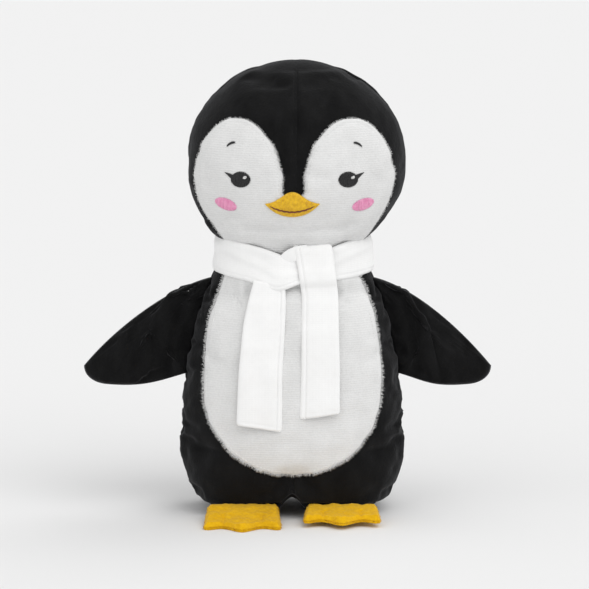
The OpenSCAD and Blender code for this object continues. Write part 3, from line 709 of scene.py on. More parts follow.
PEAK_Z, CHIN_Z = NECK_Z + 42.5, NECK_Z + 1.5      # lower end of the dark peak, lower edge of the face patch
LOBE_LOW, LOBE_TALL = NECK_Z + 49.8, 43.7         # widest level of the lobes and their height above it
LOBE_X, LOBE_IN, LOBE_OUT = 36.9, 29.9, 28.4      # middle of a lobe and its two half-widths
SEAM_X = AXIS_X + LEAN


def head_half(z):
    return mix(np.where(z < BROW_Z, NECK_W, 0), HEAD_W, head_full(z))


def lobe_arc(z):
    return np.sqrt(np.clip(1 - np.clip((z - LOBE_LOW) / LOBE_TALL, 0, 1) ** 2, 0, 1))


def face_outer(z, side):
    margin = (4.6 if side < 0 else 5.4) + 1.5 * (1 - ease((z - 178) / 12))
    return np.minimum(LOBE_X + LOBE_OUT * lobe_arc(z), head_half(z) - margin)


def face_inner(z, side):
    return LOBE_X - LOBE_IN * lobe_arc(z) - 0.6 * side


def over_seam(x, z):
    """Front of the head with the groove of its middle seam bridged, as under a tight patch."""
    x, z = np.broadcast_arrays(np.asarray(x, float), np.asarray(z, float))
    ground = drape(head_tree, x, z, 0.0)
    near = bell(x - SEAM_X, 3.6, 4)
    left = drape(head_tree, np.full_like(x, SEAM_X - 5), z, 0.0)[..., 1]
    right = drape(head_tree, np.full_like(x, SEAM_X + 5), z, 0.0)[..., 1]
    chord = mix(left, right, np.clip((x - SEAM_X + 5) / 10, 0, 1)) - 0.25
    ground[..., 1] = mix(ground[..., 1], chord, near)
    return ground


def lobe_grid(side, rows, cols):
    """Half of the face patch from its chin to its lobe's top. Columns run from the middle out."""
    low_rows, mid_rows = int(rows * 0.38), int(rows * 0.12)
    swing = np.linspace(0, math.radians(86), rows - low_rows - mid_rows)
    z = np.concatenate([np.linspace(CHIN_Z, PEAK_Z, low_rows, endpoint=False),
                        np.linspace(PEAK_Z, LOBE_LOW, mid_rows, endpoint=False),
                        LOBE_LOW + LOBE_TALL * np.sin(swing)])
    t, zz = np.meshgrid(np.linspace(0, 1, cols) ** 0.8, z)
    inner = face_inner(zz, side) * np.sqrt(np.clip((zz - PEAK_Z) / 3.5, 0, 1))
    x = FACE_X + side * mix(inner, face_outer(zz, side), t)
    x = x + side * 0.35 * waves(np.stack([zz, side * t * 9], -1), 12, 31) * (zz > PEAK_Z + 0.01)
    return x, zz, t


def seam_distance(ground, side):
    """How far each place of a lobe lies inside the lobe's own edge."""
    z = LOBE_LOW + LOBE_TALL * np.sin(np.linspace(-0.15, math.pi / 2, 160))
    rim = [(FACE_X + side * line(z, side), z) for line in (face_inner, face_outer)]
    rim = np.concatenate([np.stack(pair, -1) for pair in rim])
    flat = ground[..., [0, 2]]
    return np.linalg.norm(flat[:, :, None] - rim[None, None], axis=-1).min(-1)


lobes = {}
for side in (-1, 1):
    x, z, t = lobe_grid(side, 56, 32)
    middle = z[:, 0] <= PEAK_Z + 0.01
    u = np.linspace(0, 1, z.shape[0])[:, None]
    inner_edge = np.where(middle[:, None], 1, np.clip(t * 9, 0, 1))
    edge = np.minimum(np.minimum(np.clip((1 - t) * 9, 0, 1), np.clip((1 - u) * 14, 0, 1)), inner_edge)
    ground = over_seam(x, z)
    if side < 0:
        ground, edge = ground[:, ::-1], edge[:, ::-1]
    lobes[side] = (ground, edge, normals(ground, False), middle)
joined = lobes[1][3]
shared = lobes[-1][2][joined, -1] + lobes[1][2][joined, 0]
shared = unit(shared)
lobes[-1][2][joined, -1] = shared
lobes[1][2][joined, 0] = shared
verts, faces, face_fringes, face_area = [], [], [], 0.0
for side, label in ((-1, "left"), (1, "right")):
    ground, edge, face_out, _ = lobes[side]
    puff = 0.3 + PATCH_T * np.sqrt(ease(edge)) + 0.2 * waves(ground[..., [0, 2]], 22, 37)
    puff -= 0.5 * bell(seam_distance(ground, side) - 2.6, 0.6)
    top = ground + face_out * puff[..., None]
    low = ground + face_out * SEWN
    rows, cols = ground.shape[:2]
    layer = rows * cols
    v, f = shell(top, low)
    if side < 0:
        verts, faces, face_area = list(v), list(f), area_of(top)
        seam_left = [i * cols + cols - 1 for i in range(rows) if joined[i]]
        seam_left += [layer + k for k in seam_left]
    else:
        seam_right = [i * cols for i in range(rows) if joined[i]]
        seam_right += [layer + k for k in seam_right]
        weld = dict(zip(seam_right, seam_left))
        at = len(verts)
        verts += list(v)
        faces += [tuple(weld.get(k, k + at) for k in face) for face in f]
        face_area += area_of(top)
    start = int(joined.sum()) - 1
    inner_col, outer_col = (cols - 1, 0) if side < 0 else (0, cols - 1)
    path = [(i, outer_col) for i in range(rows)]
    path += [(rows - 1, j) for j in (range(1, cols - 1) if side < 0 else range(cols - 2, 0, -1))]
    path += [(i, inner_col) for i in range(rows - 1, start, -1)]
    line = np.array([ground[i, j] for i, j in path])
    out_line = np.array([face_out[i, j] for i, j in path])
    away = unit(np.cross(np.gradient(line, axis=0), out_line) * side)
    face_fringes.append(fringe("face_fringe_" + label, line, away, out_line, 1.7, 0.22, "head",
                               "white_minky", 43 + side))
seam_set = set(seam_left)
faces = [face for face in faces if not set(face) <= seam_set]
used = sorted({k for face in faces for k in face})
fresh = {k: n for n, k in enumerate(used)}
face_mesh = [verts[k] for k in used], [tuple(fresh[k] for k in face) for face in faces]
face_cloth = piece("face_patch_cloth", face_mesh, "white_minky", "head", "face_patch")
wide, tall = 0.141, 0.103
face_tree = save_bvh("face_patch_cloth")


# ---- Embroidery: rows of real thread
def tubes(paths, radii, sides=6):
    """Tapered tubes along paths; radii gives each path's radius at its points."""
    verts, faces = [], []
    turn = np.arange(sides) * 2 * np.pi / sides
    for path, radius in zip(paths, radii):
        path = np.asarray(path, float)
        along = unit(np.gradient(path, axis=0))
        side = unit(np.cross(along, [0, -1.0, 0]))
        up = np.cross(side, along)
        at = len(verts)
        ring = side[:, None] * np.cos(turn)[None, :, None] + up[:, None] * np.sin(turn)[None, :, None]
        ring = path[:, None] + ring * np.asarray(radius)[:, None, None]
        verts += list(ring.reshape(-1, 3))
        faces += [tuple(f) for f in grid_faces(len(path), sides, True, at)]
        faces.append(tuple(at + sides - 1 - k for k in range(sides)))
        faces.append(tuple(at + (len(path) - 1) * sides + k for k in range(sides)))
    return verts, faces


def on_beak(x, z, lift):
    """Points over the face at beak level, where the patch and the dark peak meet."""
    ground = over_seam(x, z)
    out = (ground - [SEAM_X, AXIS_Y, NECK_Z + 50]) / [70.0 ** 2, 55.0 ** 2, 70.0 ** 2]
    return ground + unit(out) * (0.3 + PATCH_T + np.asarray(lift))[..., None]


def satin(name, chords, radius, crown, slot, nodes, base=0.15, seed=1, pitch=0.0):
    """Satin stitches across chords ((x0, z0), (x1, z1), height), padded by crown in the middle of the motif.
    With a pitch, the stitches are crossed by small dips that far apart and lie on the beak's ground."""
    r = np.random.default_rng(seed)
    paths, radii = [], []
    for number, (start, end, height) in enumerate(chords):
        long = math.hypot(end[0] - start[0], end[1] - start[1])
        count = max(5, int(long / (0.4 if pitch else 0.9)) + 3)
        t = np.linspace(0, 1, count)
        x = mix(start[0], end[0], t) + r.normal() * 0.05
        z = mix(start[1], end[1], t)
        arc = np.sqrt(np.clip(1 - (2 * t - 1) ** 2, 0, 1))
        dip = 0 * t
        if pitch:
            phase = (t * long / pitch + number * 0.37) % 1 - 0.5
            dip = bell(phase, 0.12)
        lift = base + radius * 0.4 + height * crown * arc + r.normal() * 0.03 - 0.16 * dip
        line = on_beak(x, z, lift) if pitch else drape(face_tree, x, z, lift)
        paths.append(line)
        radii.append(radius * r.uniform(0.9, 1.1) * (0.55 + 0.45 * arc ** 0.5) * (1 - 0.3 * dip))
    return piece(name, tubes(paths, radii), slot, "head", *nodes)


def oval_chords(cx, cz, wide, tall, tilt, step, along=0.0):
    """Parallel stitches across a tilted oval; along is the direction of the stitches."""
    chords = []
    c, s = math.cos(tilt), math.sin(tilt)
    count = int(wide / step)
    for k in range(count + 1):
        u = -wide / 2 + wide * (k + 0.5) / (count + 1)
        half = tall / 2 * math.sqrt(max(0, 1 - (2 * u / wide) ** 2))
        slant = along * half
        p, q = (u - slant, -half), (u + slant, half)
        chords.append(((cx + p[0] * c - p[1] * s, cz + p[0] * s + p[1] * c),
                       (cx + q[0] * c - q[1] * s, cz + q[0] * s + q[1] * c), half / (tall / 2)))
    return chords


EYE_X, EYE_Z, EYE_W, EYE_H = 34.8, NECK_Z + 54.9, 12.6, 10.4
for side, label in ((-1, "left"), (1, "right")):
    cx = FACE_X + side * EYE_X
    chords = oval_chords(cx, EYE_Z, EYE_W, EYE_H, -side * 0.06, 0.36)
    for k in range(9):
        t = k / 8
        base_x, base_z = cx + side * (5.4 + 1.2 * t), EYE_Z + 0.4 + 2.6 * (1 - t)
        lash_end = cx + side * (10.4 - 3.2 * t), EYE_Z + 4.3 - 3.0 * t
        chords.append(((base_x - side * 1.5, base_z - 0.5), lash_end, 0.2))
    satin("eye_%s_stitches" % label, chords, 0.24, 0.55, "thread_black", ["eye_" + label], seed=3 + side)
    spark = oval_chords(cx + 2.9, EYE_Z + 1.5, 2.5, 1.9, 0.5, 0.36)
    satin("eye_%s_highlight" % label, spark, 0.2, 0.15, "thread_white",
          ["eye_highlights"] if side > 0 else [], base=0.95, seed=13 + side)
    blush = oval_chords(FACE_X + side * 44.5, NECK_Z + 37.8, 14.4, 7.8, side * 0.25, 0.4, 0.15 * side)
    satin("cheek_%s_stitches" % label, blush, 0.25, 0.3, "thread_pink", ["cheek_" + label],
          seed=23 + side)
    t = np.linspace(-1, 1, 10)
    arc_x = FACE_X + side * (41 + 2.9 * t)
    arc_z = NECK_Z + 78 - 1.4 * t - 0.9 * t ** 2
    rows = [drape(face_tree, arc_x, arc_z + off, 0.35) for off in (-0.3, 0.1, 0.5)]
    piece("brow_%s_stitches" % label, tubes(rows, [0.34 * (1.05 - np.abs(t) ** 3)] * 3), "thread_black",
          "head", "brow_" + label)

BEAK_X, BEAK_W, BEAK_Z = FACE_X - 1.3, 17.4, NECK_Z + 39.4
chords = []
count = 96
for k in range(count + 1):
    u = -1 + 2 * (k + 0.5) / (count + 1)
    upper = 7.4 * math.exp(-(abs(u) / 0.56) ** 2.2) + 0.6 * (1 - abs(u))
    lower = 8.6 * (1 - u * u) ** 0.8 * (1 - 0.35 * abs(u) ** 6)
    chords.append(((BEAK_X + u * BEAK_W, BEAK_Z - lower), (BEAK_X + u * BEAK_W * 0.97, BEAK_Z + upper),
                   (1 - u * u) ** 0.5))
satin("beak_stitches", chords, 0.27, 1.7, "thread_yellow", ["beak"], seed=51, pitch=2.4)
t = np.linspace(-1, 1, 60)
mouth_x = BEAK_X + 15.7 * t
mouth_z = BEAK_Z - 0.4 - 4.3 * (1 - np.abs(t) ** 1.9) + 0.15 * np.cos(t * 31)
beak_line = on_beak(mouth_x, mouth_z, 0.45 + 1.75 * np.sqrt(np.clip(1 - t ** 2, 0, 1)))
beads = 0.58 * (1.05 - np.abs(t) ** 6) * (0.85 + 0.15 * np.cos(t * 80))
piece("mouth_stitches", tubes([beak_line], [beads], 8), "thread_brown", "head", "mouth_line")


# Rows of stitching inside the edges of the patches
def running(tree, x, z, lift, name, body, *nodes):
    """Running stitches: short threads one after another along a line."""
    line = drape(tree, x, z, lift)
    length = np.concatenate([[0], np.cumsum(np.linalg.norm(np.diff(line, axis=0), axis=1))])
    paths, radii = [], []
    for start in np.arange(0, length[-1] - 2.2, 2.6):
        s = np.linspace(start, start + 2.1, 6)
        path = np.stack([np.interp(s, length, line[:, k]) for k in range(3)], -1)
        dip = np.abs(np.linspace(-1, 1, 6)) ** 3
        path[:, 1] += 0.35 * dip
        paths.append(path)
        radii.append(0.22 * (1.1 - 0.4 * dip))
    return piece(name, tubes(paths, radii), "thread_white", body, *nodes)


for side, label in ((-1, "left"), (1, "right")):
    swing = np.linspace(0, math.radians(80), 50)
    z = np.concatenate([np.linspace(PEAK_Z + 6, LOBE_LOW, 8, endpoint=False),
                        LOBE_LOW + (LOBE_TALL - 2.6) * np.sin(swing)])
    inset = np.concatenate([np.ones(8), np.cos(swing)])
    x = FACE_X + side * (LOBE_X - (LOBE_IN - 2.6) * inset - 0.6 * side)
    nodes = ["face_stitching"] if side > 0 else []
    running(face_tree, x, z, 0.12, "face_stitches_" + label, "head", *nodes)
belly_tree = save_bvh("belly_patch_cloth")
BELLY_INSET = 0.965             # the row runs at this share of the patch's outline
a = np.linspace(math.radians(152), math.radians(388), 260)
x = AXIS_X + BELLY_INSET * BELLY_HALF * signed_pow(np.cos(a), BELLY_ROUND)
z = BELLY_Z + BELLY_INSET * belly_rise(a)
running(belly_tree, x, z, 0.05, "belly_stitches", "torso", "belly_stitching")


# ---- Wings: front and back cloth round a filling
def bezier(a, b, c, d, t):
    s = (1 - t)[:, None]
    t = t[:, None]
    a, b, c, d = (np.array(p, float) for p in (a, b, c, d))
    return s ** 3 * a + 3 * s * s * t * b + 3 * s * t * t * c + t ** 3 * d


def torso_half(z):
    return mix(NECK_W, HIP_W, torso_full(z))


WING_ROOT = -1.2                # the root is sewn into the drawn-in side seam


def wing_outline(reach, n):
    top_z, low_z, tip = NECK_Z - 16, NECK_Z - 81, (reach, NECK_Z - 76)
    under = (tip[0] - 14, tip[1] - 12.5)
    top, low = (float(torso_half(top_z)) + WING_ROOT, top_z), (float(torso_half(low_z)) + WING_ROOT, low_z)
    t = np.arange(n) / n
    z = mix(top_z, low_z, t)
    return np.concatenate([
        bezier(low, (low[0] + 19, low[1] - 5.5), (under[0] - 26, under[1] - 2.5), under, t),
        bezier(under, (under[0] + 8, under[1] + 1), (tip[0], tip[1] - 7), tip, t),
        bezier(tip, (tip[0] - 22, tip[1] + 27), (top[0] + 27, top[1] - 5), top, t),
        np.stack([torso_half(z) + WING_ROOT, z], -1)])


def wing_rows(loops):
    inside = np.linspace(0.04, 1, loops) ** 0.85
    return np.concatenate([inside, inside[::-1][1:]])


def wing_grid(side, reach, loops, n):
    """Rows run from the middle of the front over the edge to the middle of the back."""
    edge = wing_outline(reach, n)
    heart = np.array([mix(edge[0][0], edge[2 * n][0], 0.34), NECK_Z - 52])
    r = wing_rows(loops)
    face = np.where(np.arange(len(r)) < loops, -1.0, 1.0)
    face[loops - 1] = 0
    p = heart + r[:, None, None] * (edge - heart)
    depth = 0.8 + 6.7 * np.clip(1 - r ** 2.6, 0, 1) ** 0.6
    y = np.broadcast_to((face * depth)[:, None], p.shape[:2])
    grid = np.stack([AXIS_X + side * p[..., 0], AXIS_Y + y, p[..., 1]], -1)
    return (grid if side < 0 else grid[:, ::-1]), loops


for side, label, reach in ((-1, "left", 138.2), (1, "right", 131.9)):
    coarse, mid = wing_grid(side, reach, 9, 12)
    pins = np.zeros(coarse.shape[:2], bool)
    pins[mid - 1] = True
    move = swell(coarse, pins, 2.5, 0.05, 2.0)
    fine, half = wing_grid(side, reach, 34, 48)
    c_r, f_r = np.arange(coarse.shape[0]), np.linspace(0, coarse.shape[0] - 1, fine.shape[0])
    move = cubic(move, np.interp(f_r, c_r, c_r.astype(float)), 0)
    move = cubic(move, np.arange(fine.shape[1]) * coarse.shape[1] / fine.shape[1], 1, True)
    grid = fine + move
    facing = normals(grid, True)
    facing[[0, -1]] = facing[[1, -2]]
    root = wing_outline(reach, 48)[3 * 48:]
    flat = np.stack([side * (grid[..., 0] - AXIS_X), grid[..., 2]], -1)
    away = np.linalg.norm(flat[:, :, None] - root[None, None, ::4], axis=-1).min(-1)
    crease = 2.3 * bell(away - 13, 4.0) * ease((grid[..., 2] - 84) / 12)
    gather = 1.1 * waves(np.stack([grid[..., 2], 30 * np.sign(grid[..., 1] - AXIS_Y)], -1), 9, 71 + side)
    crease += gather * np.exp(-away / 9) * (away > 0.5)
    rim_fall = np.abs(np.arange(grid.shape[0]) - (half - 1))[:, None] / half
    crease += 0.35 * np.clip(waves(grid, 7, 75 + side), -1, 1.5) * np.exp(-rim_fall * 9)
    crease += 0.35 * waves(grid, 20, 77 + side)
    crease *= ease(rim_fall * 14)
    grid = grid - facing * crease[..., None]
    facing = normals(grid, True)
    facing[[0, -1]] = facing[[1, -2]]
    inner = grid - facing * np.minimum(1.2, 0.75 + 6 * rim_fall[..., None])
    seam_way = np.array([0.959 * side, 0, 0.283])
    root_start = np.array([AXIS_X + side * 64.8, AXIS_Y, 123.5]) + seam_way * -1.0
    root_start = root_start * MM
    for part, rows in (("front", slice(0, half)), ("back", slice(half - 1, None))):
        g, h = grid[rows], inner[rows]
        v, f = shell(g, h, True)
        end = 0 if part == "front" else g.shape[0] - 1
        n, m = g.shape[1], g.shape[0] * g.shape[1]
        f = f[:-2 * n] + (f[-n:] if part == "front" else f[-2 * n:-n])
        v = np.concatenate([v, [g[end].mean(0)], [h[end].mean(0)]])
        ring = end * n
        for j in range(n):
            tri = (ring + j, 2 * m, ring + (j + 1) % n)
            low_tri = (m + ring + (j + 1) % n, 2 * m + 1, m + ring + j)
            f += [tri, low_tri] if part == "front" else [tri[::-1], low_tri[::-1]]
        node = "wing_%s_%s" % (label, part)
        cloth = bending(node + "_cloth", (v, f), "black_minky", node)
    stuffing_rows = np.concatenate([np.arange(0, half - 8, 3), np.arange(half + 7, grid.shape[0], 3)])
    fill = (grid - normals(fine, True) * 2.9)[stuffing_rows][:, ::3]
    filling("wing_%s_fibre" % label, fill, "fibre_filling", "wing_" + label, "wing_%s_filling" % label)

# ---- Feet: two felt layers over wadding, sloping from the base seam down to three toes
FOOT_X, FOOT_W = 32.5, 50.0
FOOT_L = {-1: 42.0, 1: 35.0}
TOE_RAISE = {-1: 0.0, 1: 3.0}
ROOT_RAISE = 1.4                # the sewn root is squeezed up under the front of the base
FOOT_ROOT = float(mix(FLOOR_D, HIP_D, torso_full(np.array(9.0)))) + 0.6
FELT_T, FOOT_T = 1.4, 4.4


def foot_grid(side, rows, cols, inset):
    u, t = np.meshgrid(np.linspace(-1, 1, cols), np.linspace(1, 0, rows))
    notch = 9 * np.abs(np.sin(np.pi * u)) ** 1.7
    reach = FOOT_L[side] - notch - 7 * np.abs(u) ** 2.2
    corner_in = 5 * np.clip(np.abs(u) - 0.86, 0, 1) ** 1.3 / 0.14 ** 1.3 * 0.6
    v = mix(inset, reach - corner_in * 0.5 - inset, t)
    half = mix(0.93, 1.0, ease(t)) * FOOT_W / 2 - inset
    drop = mix(9 + ROOT_RAISE - FOOT_T, TOE_RAISE[side], ease(v / (0.8 * FOOT_L[side])))
    grid = np.stack([AXIS_X + side * FOOT_X + u * half, AXIS_Y - FOOT_ROOT - v, drop], -1)
    return grid, u, t


for side, label in ((-1, "left"), (1, "right")):
    body = "foot_" + label
    grid, u, t = foot_grid(side, 56, 84, 0.0)
    edge = np.minimum(np.clip((1 - np.abs(u)) * 11, 0, 1), np.clip((1 - t) * 14, 0, 1))
    puff = ease(edge)
    toe = np.abs(np.sin(np.pi * u)) ** 2
    channel = 1.1 * bell(np.abs(u) - 0.5, 0.05) * ease((t - 0.45) / 0.25)
    lump = 0.3 * waves(grid[..., :2], 11, 81 + side) + 0.12 * waves(grid[..., :2], 4, 83 + side)
    top = grid.copy()
    top[..., 2] += (FELT_T + 0.9 + (FOOT_T - FELT_T - 0.9 + 1.1 * (1 - toe) * t) * puff - channel * puff
                    + lump * puff)
    top[..., :2] += 0.2 * waves(grid, 6, 85 + side)[..., None] * (1 - puff)[..., None]
    thick = np.maximum(top[..., 2] - FELT_T, grid[..., 2] + FELT_T + 0.05)
    thick = np.stack([grid[..., 0], grid[..., 1], thick], -1)
    upper = piece(body + "_top_felt", shell(top, thick), "yellow_felt", body, body + "_top")
    sole_top = grid + [0, 0, FELT_T]
    sole_low = np.stack([grid[..., 0], grid[..., 1], np.maximum(grid[..., 2], 0.02)], -1)
    sole = piece(body + "_sole_felt", shell(sole_top, sole_low), "yellow_felt", body, body + "_sole")
    rows, cols = grid.shape[:2]
    path = [(i, 0) for i in range(rows - 1, 0, -1)] + [(0, j) for j in range(cols)]
    path += [(i, cols - 1) for i in range(1, rows)]
    line = np.array([top[i, j] - [0, 0, 1.2] for i, j in path])
    along = np.gradient(line, axis=0)
    away = np.cross(along, [0, 0, 1.0]) * -1
    centre = line.mean(0)
    away *= np.sign(((line - centre) * away).sum(1).mean())
    away = unit(away)
    up = np.broadcast_to([0, 0, 1.0], line.shape)
    line[:, 2] = np.maximum(line[:, 2], 1.0)
    keep = slice(6, len(line) - 6)
    fuzz = fringe(body + "_fuzz", line[keep], away[keep], up[keep], 1.1, 0.3, body, "yellow_felt", 87 + side,
                  0.12)
    wad, wu, wt = foot_grid(side, 20, 26, 2.2)
    wad_edge = ease(np.minimum(np.clip((1 - np.abs(wu)) * 5, 0, 1), np.clip((1 - wt) * 6, 0, 1)))
    wad_top = wad + [0, 0, 1.0] * (FELT_T + 0.35 + 1.0 * wad_edge)[..., None]
    wadding = piece(body + "_wadding_fibre", shell(wad_top, wad + [0, 0, FELT_T + 0.1]), "fibre_filling",
                    body, body + "_wadding")

# ---- Scarf: one folded jersey strip, wrapped once and tied
# Upper and lower edge of the band over the front, along x
TOP_X = (-55, -48, -33, -21, -4, 12, 29.5, 38.7, 50, 57)
TOP_Z = (186, 185.4, 182.8, 180.0, 174.8, 174.5, 178.8, 182.4, 185.4, 186)
LOW_X = (-55, -43, -28, -20, -9, 0, 9, 33, 46, 58)
LOW_Z = (160.6, 160.0, 157.4, 155.2, 151.6, 154.2, 157.2, 158.2, 159.4, 161.0)


def smoothed(x, xs, ys, spread=2.0):
    """Piecewise line with its corners rounded over that many millimetres."""
    return sum(np.interp(x + d * spread, xs, ys) for d in (-1.5, -0.75, 0, 0.75, 1.5)) / 5


def band_edges(a):
    x = AXIS_X + 52 * np.cos(a)
    front = ease(-np.sin(a) * 4 + 0.3)
    high = mix(186.5, smoothed(x, TOP_X, TOP_Z), front)
    low = mix(161.0, smoothed(x, LOW_X, LOW_Z), front)
    return low, high


def band_skin(a, z, lift):
    """Outside of the wrapped neck: nearly upright between the shoulders and the head."""
    w = 49.0 + 1.6 * bell(z - 163, 7) - 1.2 * ease((z - 174) / 12)
    d = 37.6 + 2.2 * bell(z - 157, 7) + 2.2 * ease((z - 172) / 12)
    r = section(a, w + lift, d + lift, 2.3)
    return np.stack([AXIS_X + r * np.cos(a) + 0.6, AXIS_Y + r * np.sin(a), z], -1)


a = np.arange(360) * 2 * np.pi / 360
aa, pp = np.meshgrid(a, np.linspace(0, 1, 40))
low, high = band_edges(aa)
lip = np.sqrt(np.clip(1 - np.abs(2 * pp - 1) ** 9, 0, 1))
zz = mix(low, high, pp)
thick = 2.5 * lip
soft_fold = 0.5 * waves(np.stack([aa * 45, (pp + 0.35 * np.cos(aa)) * 22], -1), 24, 91)
soft_fold += 0.9 * bell(pp - 0.62 - 0.16 * np.cos(2 * aa), 0.13)
hem = -0.42 * bell((zz - low) - 3.3, 0.55)
vee = 3.6 * bell(aa - np.radians(256), 0.34) * (1 - pp)
outer = band_skin(aa, zz, 0.4 + thick + (soft_fold + hem) * lip + vee)
inner = band_skin(aa, zz, 0.25 + vee * 0.8)
collar = piece("scarf_band", shell(outer, inner, True), "scarf_jersey", "torso", "scarf_collar")
band_tree = save_bvh("scarf_band", "belly_patch_cloth", "front_left_panel_cloth", "front_right_panel_cloth")
FOLD_T = 2.3                    # thickness of the folded strip
HEM = 3.3                       # distance of the hem's groove from the strip's edge


def strip(spine, wide, seed, hem_side, slant, slack):
    """Folded strip hanging along its spine: (x middle, y, z) points down its length, flat across."""
    rows = 110
    spine = np.asarray(spine, float)
    s = np.concatenate([[0], np.cumsum(np.linalg.norm(np.diff(spine, axis=0), axis=1))])
    t = np.linspace(0, s[-1], rows)
    smooth = np.stack([sum(np.interp(np.clip(t + d, 0, s[-1]), s, spine[:, k]) for d in (-2, -1, 0, 1, 2)) / 5
                       for k in range(3)], -1)
    width = sum(np.interp(np.clip(t + d, 0, s[-1]), s, wide) for d in (-3, 0, 3)) / 3
    turned = np.clip((t - s[-1]) / 4 + 1, 0, 1)
    width = width - 3.4 * (1 - np.sqrt(1 - turned ** 2))
    u = np.linspace(-1, 1, 46)
    along = unit(np.gradient(smooth, axis=0))
    away = unit(np.cross(along, [1.0, 0, 0]))
    cross = np.cross(away, along)
    cross *= np.sign(cross[:, :1])
    middle = smooth[:, None] + cross[:, None] * (u * 0.5)[None, :, None] * width[:, None, None]
    middle[..., 2] += slant * u[None] * ease((t / s[-1] - 0.55) / 0.45)[:, None]
    place_on = np.stack(np.broadcast_arrays(u[None] * 13, t[:, None] * 0.35), -1)
    ripple = 0.35 * waves(place_on, 13, seed) * ease(t / 30)[:, None]
    curve = -slack * (u ** 2)[None] * ease(t / 20)[:, None]
    lip = np.sqrt(np.clip(1 - np.abs(u) ** 12, 0, 1))[None]
    lip = lip * np.sqrt(np.clip(1 - np.abs(2 * t / s[-1] - 1) ** 60, 0, 1))[:, None]
    edge = width[:, None] / 2 * (1 - u * hem_side)[None]
    groove = -0.8 * bell(edge - HEM, 0.5)
    end = (s[-1] - t)[:, None]
    groove = groove - 0.25 * bell(end - 3.5, 0.55)
    face = middle + away[:, None] * (FOLD_T * (0.25 + 0.75 * lip) + groove * lip + ripple + curve)[..., None]
    back = middle + away[:, None] * (ripple + curve + FOLD_T * 0.25 * (1 - lip))[..., None]
    return shell(face[::-1], back[::-1]), area_of(face), s[-1] * MM


def tail(label, wide_flat, rests, *strip_values):
    """Hanging end of the scarf."""
    mesh, area, long = strip(*strip_values)
    obj = bending("scarf_tail_%s_strip" % label, mesh, "scarf_jersey", "scarf_tail_" + label)


def lying_on(tree, x_mid, z, wide, gap):
    """Frontmost place of what lies behind a strip at each height, moved forward by a gap."""
    across = np.linspace(-0.5, 0.5, 7)
    hits = drape(tree, x_mid[:, None] + wide[:, None] * across[None], np.repeat(z[:, None], 7, 1), 0.0)
    y = hits[..., 1].min(1) - gap
    step = np.abs(z[:, None] - z[None])
    weight = bell(step, 9)
    return np.minimum(y, (weight * y[None]).sum(1) / weight.sum(1))


z = np.linspace(179.0, 69.8, 60)
x_mid = smoothed(z, (69, 100, 150, 165, 178, 181), (21.0, 21.6, 21.2, 19.2, 17.4, 16.2))
wide = smoothed(z, (69, 85, 150, 165, 181), (26.4, 25.6, 23.8, 24.0, 25.0))
y = lying_on(band_tree, x_mid, z, wide, 0.35)
over = [(16.2, y[0] + 5.6, 170.0), (16.2, y[0] + 5.3, 176.5), (16.2, y[0] + 4.3, 179.6),
        (16.3, y[0] + 2.0, 180.9), (16.6, y[0] + 0.4, 180.4)]
spine = over + list(np.stack([x_mid, y, z], -1))
wide = [25.0] * len(over) + list(wide)
tail("right", 0.0265, ["scarf_band", "belly_patch_cloth"], spine, wide, 101, -1, 1.9, 0.5)
z = np.linspace(159.0, 61.8, 56)
x_mid = smoothed(z, (60, 100, 130, 150, 160), (-18.6, -17.6, -15.2, -12.6, -11.5))
wide = smoothed(z, (60, 80, 130, 146, 153, 160), (29.8, 29.4, 27.4, 24.6, 22.4, 20.0))
y = lying_on(belly_tree, x_mid, z, wide, 0.3)
tail("left", 0.029, ["belly_patch_cloth"], np.stack([x_mid, y, z], -1), wide, 107, 1, -1.8, 0.6)

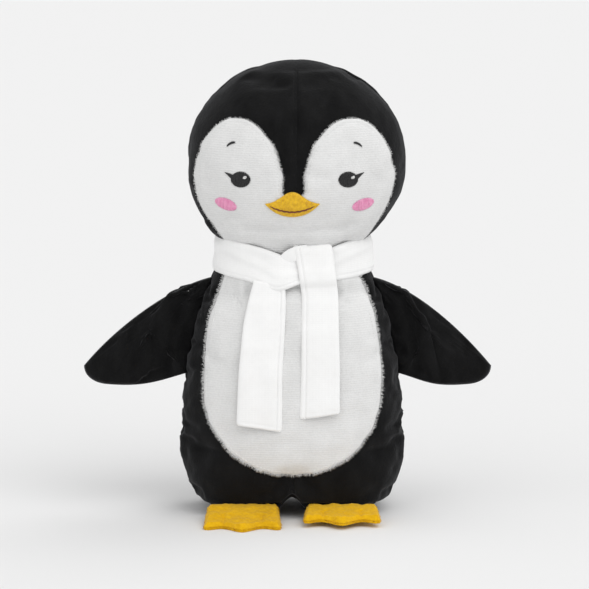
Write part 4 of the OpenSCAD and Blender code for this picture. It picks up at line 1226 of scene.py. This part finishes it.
# The loop beside the right tail, where the strip turns over the band
top_y = spine[5][1]
knots = np.array([(-3.6, top_y + 3.4, 165.0), (-3.4, top_y + 1.6, 168.6), (-1.4, top_y + 0.1, 172.4),
                  (2.6, top_y - 0.7, 175.6), (7.6, top_y - 0.4, 177.4), (13.0, top_y + 0.6, 178.0)])
t = np.linspace(0, len(knots) - 1, 40)
centre = cubic(knots, np.clip(t, 0, len(knots) - 1.001), 0)
along = unit(np.gradient(centre, axis=0))
flat_way = unit(np.cross(along, [0, -1.0, 0]))
deep_way = np.cross(flat_way, along)
turn = np.arange(40) * 2 * np.pi / 40
grow = np.interp(t, (0, 1, 2.5, 5), (2.6, 3.6, 4.6, 4.8))
ring = signed_pow(np.cos(turn), 0.8)[None, :, None] * flat_way[:, None] * grow[:, None, None]
ring = ring + (signed_pow(np.sin(turn), 0.8) * 1.3)[None, :, None] * deep_way[:, None]
loop = piece("scarf_knot_loop", capped(centre[:, None] + ring), "scarf_jersey", "torso", "scarf_knot")

# ---- Floor, light and camera
paper = Surface("floor")
for key, value in (("Base Color", (0.8, 0.8, 0.8, 1)), ("Roughness", 0.9), ("Specular IOR Level", 0.1)):
    paper.shader.inputs[key].default_value = value
ring = np.linspace(-9, 9, 25)
sheet_x, sheet_y = np.meshgrid(ring / MM, ring / MM)
verts = np.stack([sheet_x, sheet_y, 0 * sheet_x], -1).reshape(-1, 3)
floor = new_object("floor", verts, grid_faces(25, 25, False), paper.material)


def soft_sun(name, azimuth, height, power, spread):
    """Soft light from far away; azimuth is measured from the front towards the right."""
    data = bpy.data.lights.new(name, "SUN")
    data.energy = power
    data.angle = math.radians(spread)
    obj = bpy.data.objects.new(name, data)
    az, el = math.radians(azimuth), math.radians(height)
    way = Vector((math.sin(az) * math.cos(el), -math.cos(az) * math.cos(el), math.sin(el)))
    obj.rotation_euler = way.to_track_quat("Z", "Y").to_euler()
    bpy.context.scene.collection.objects.link(obj)


soft_sun("key", 40, 50, 1.05, 50)
soft_sun("fill", -50, 35, 0.3, 60)
soft_sun("back", 140, 50, 0.5, 40)
world = bpy.data.worlds.new("studio")
world.use_nodes = True
world.node_tree.nodes["Background"].inputs["Color"].default_value = (1, 1, 1, 1)
world.node_tree.nodes["Background"].inputs["Strength"].default_value = 0.68
bpy.context.scene.world = world
bpy.context.scene.view_settings.view_transform = "Standard"

ELEVATION = math.radians(9)
target = np.array([4.6, AXIS_Y, 143.6]) * MM
DISTANCE = 3.0
camera_data = bpy.data.cameras.new("camera")
camera_data.lens = 277
camera_data.sensor_width = 36
camera = bpy.data.objects.new("camera", camera_data)
camera.location = target + DISTANCE * np.array([0, -math.cos(ELEVATION), math.sin(ELEVATION)])
camera.rotation_euler = (math.pi / 2 - ELEVATION, 0, 0)
bpy.context.scene.collection.objects.link(camera)
bpy.context.scene.camera = camera
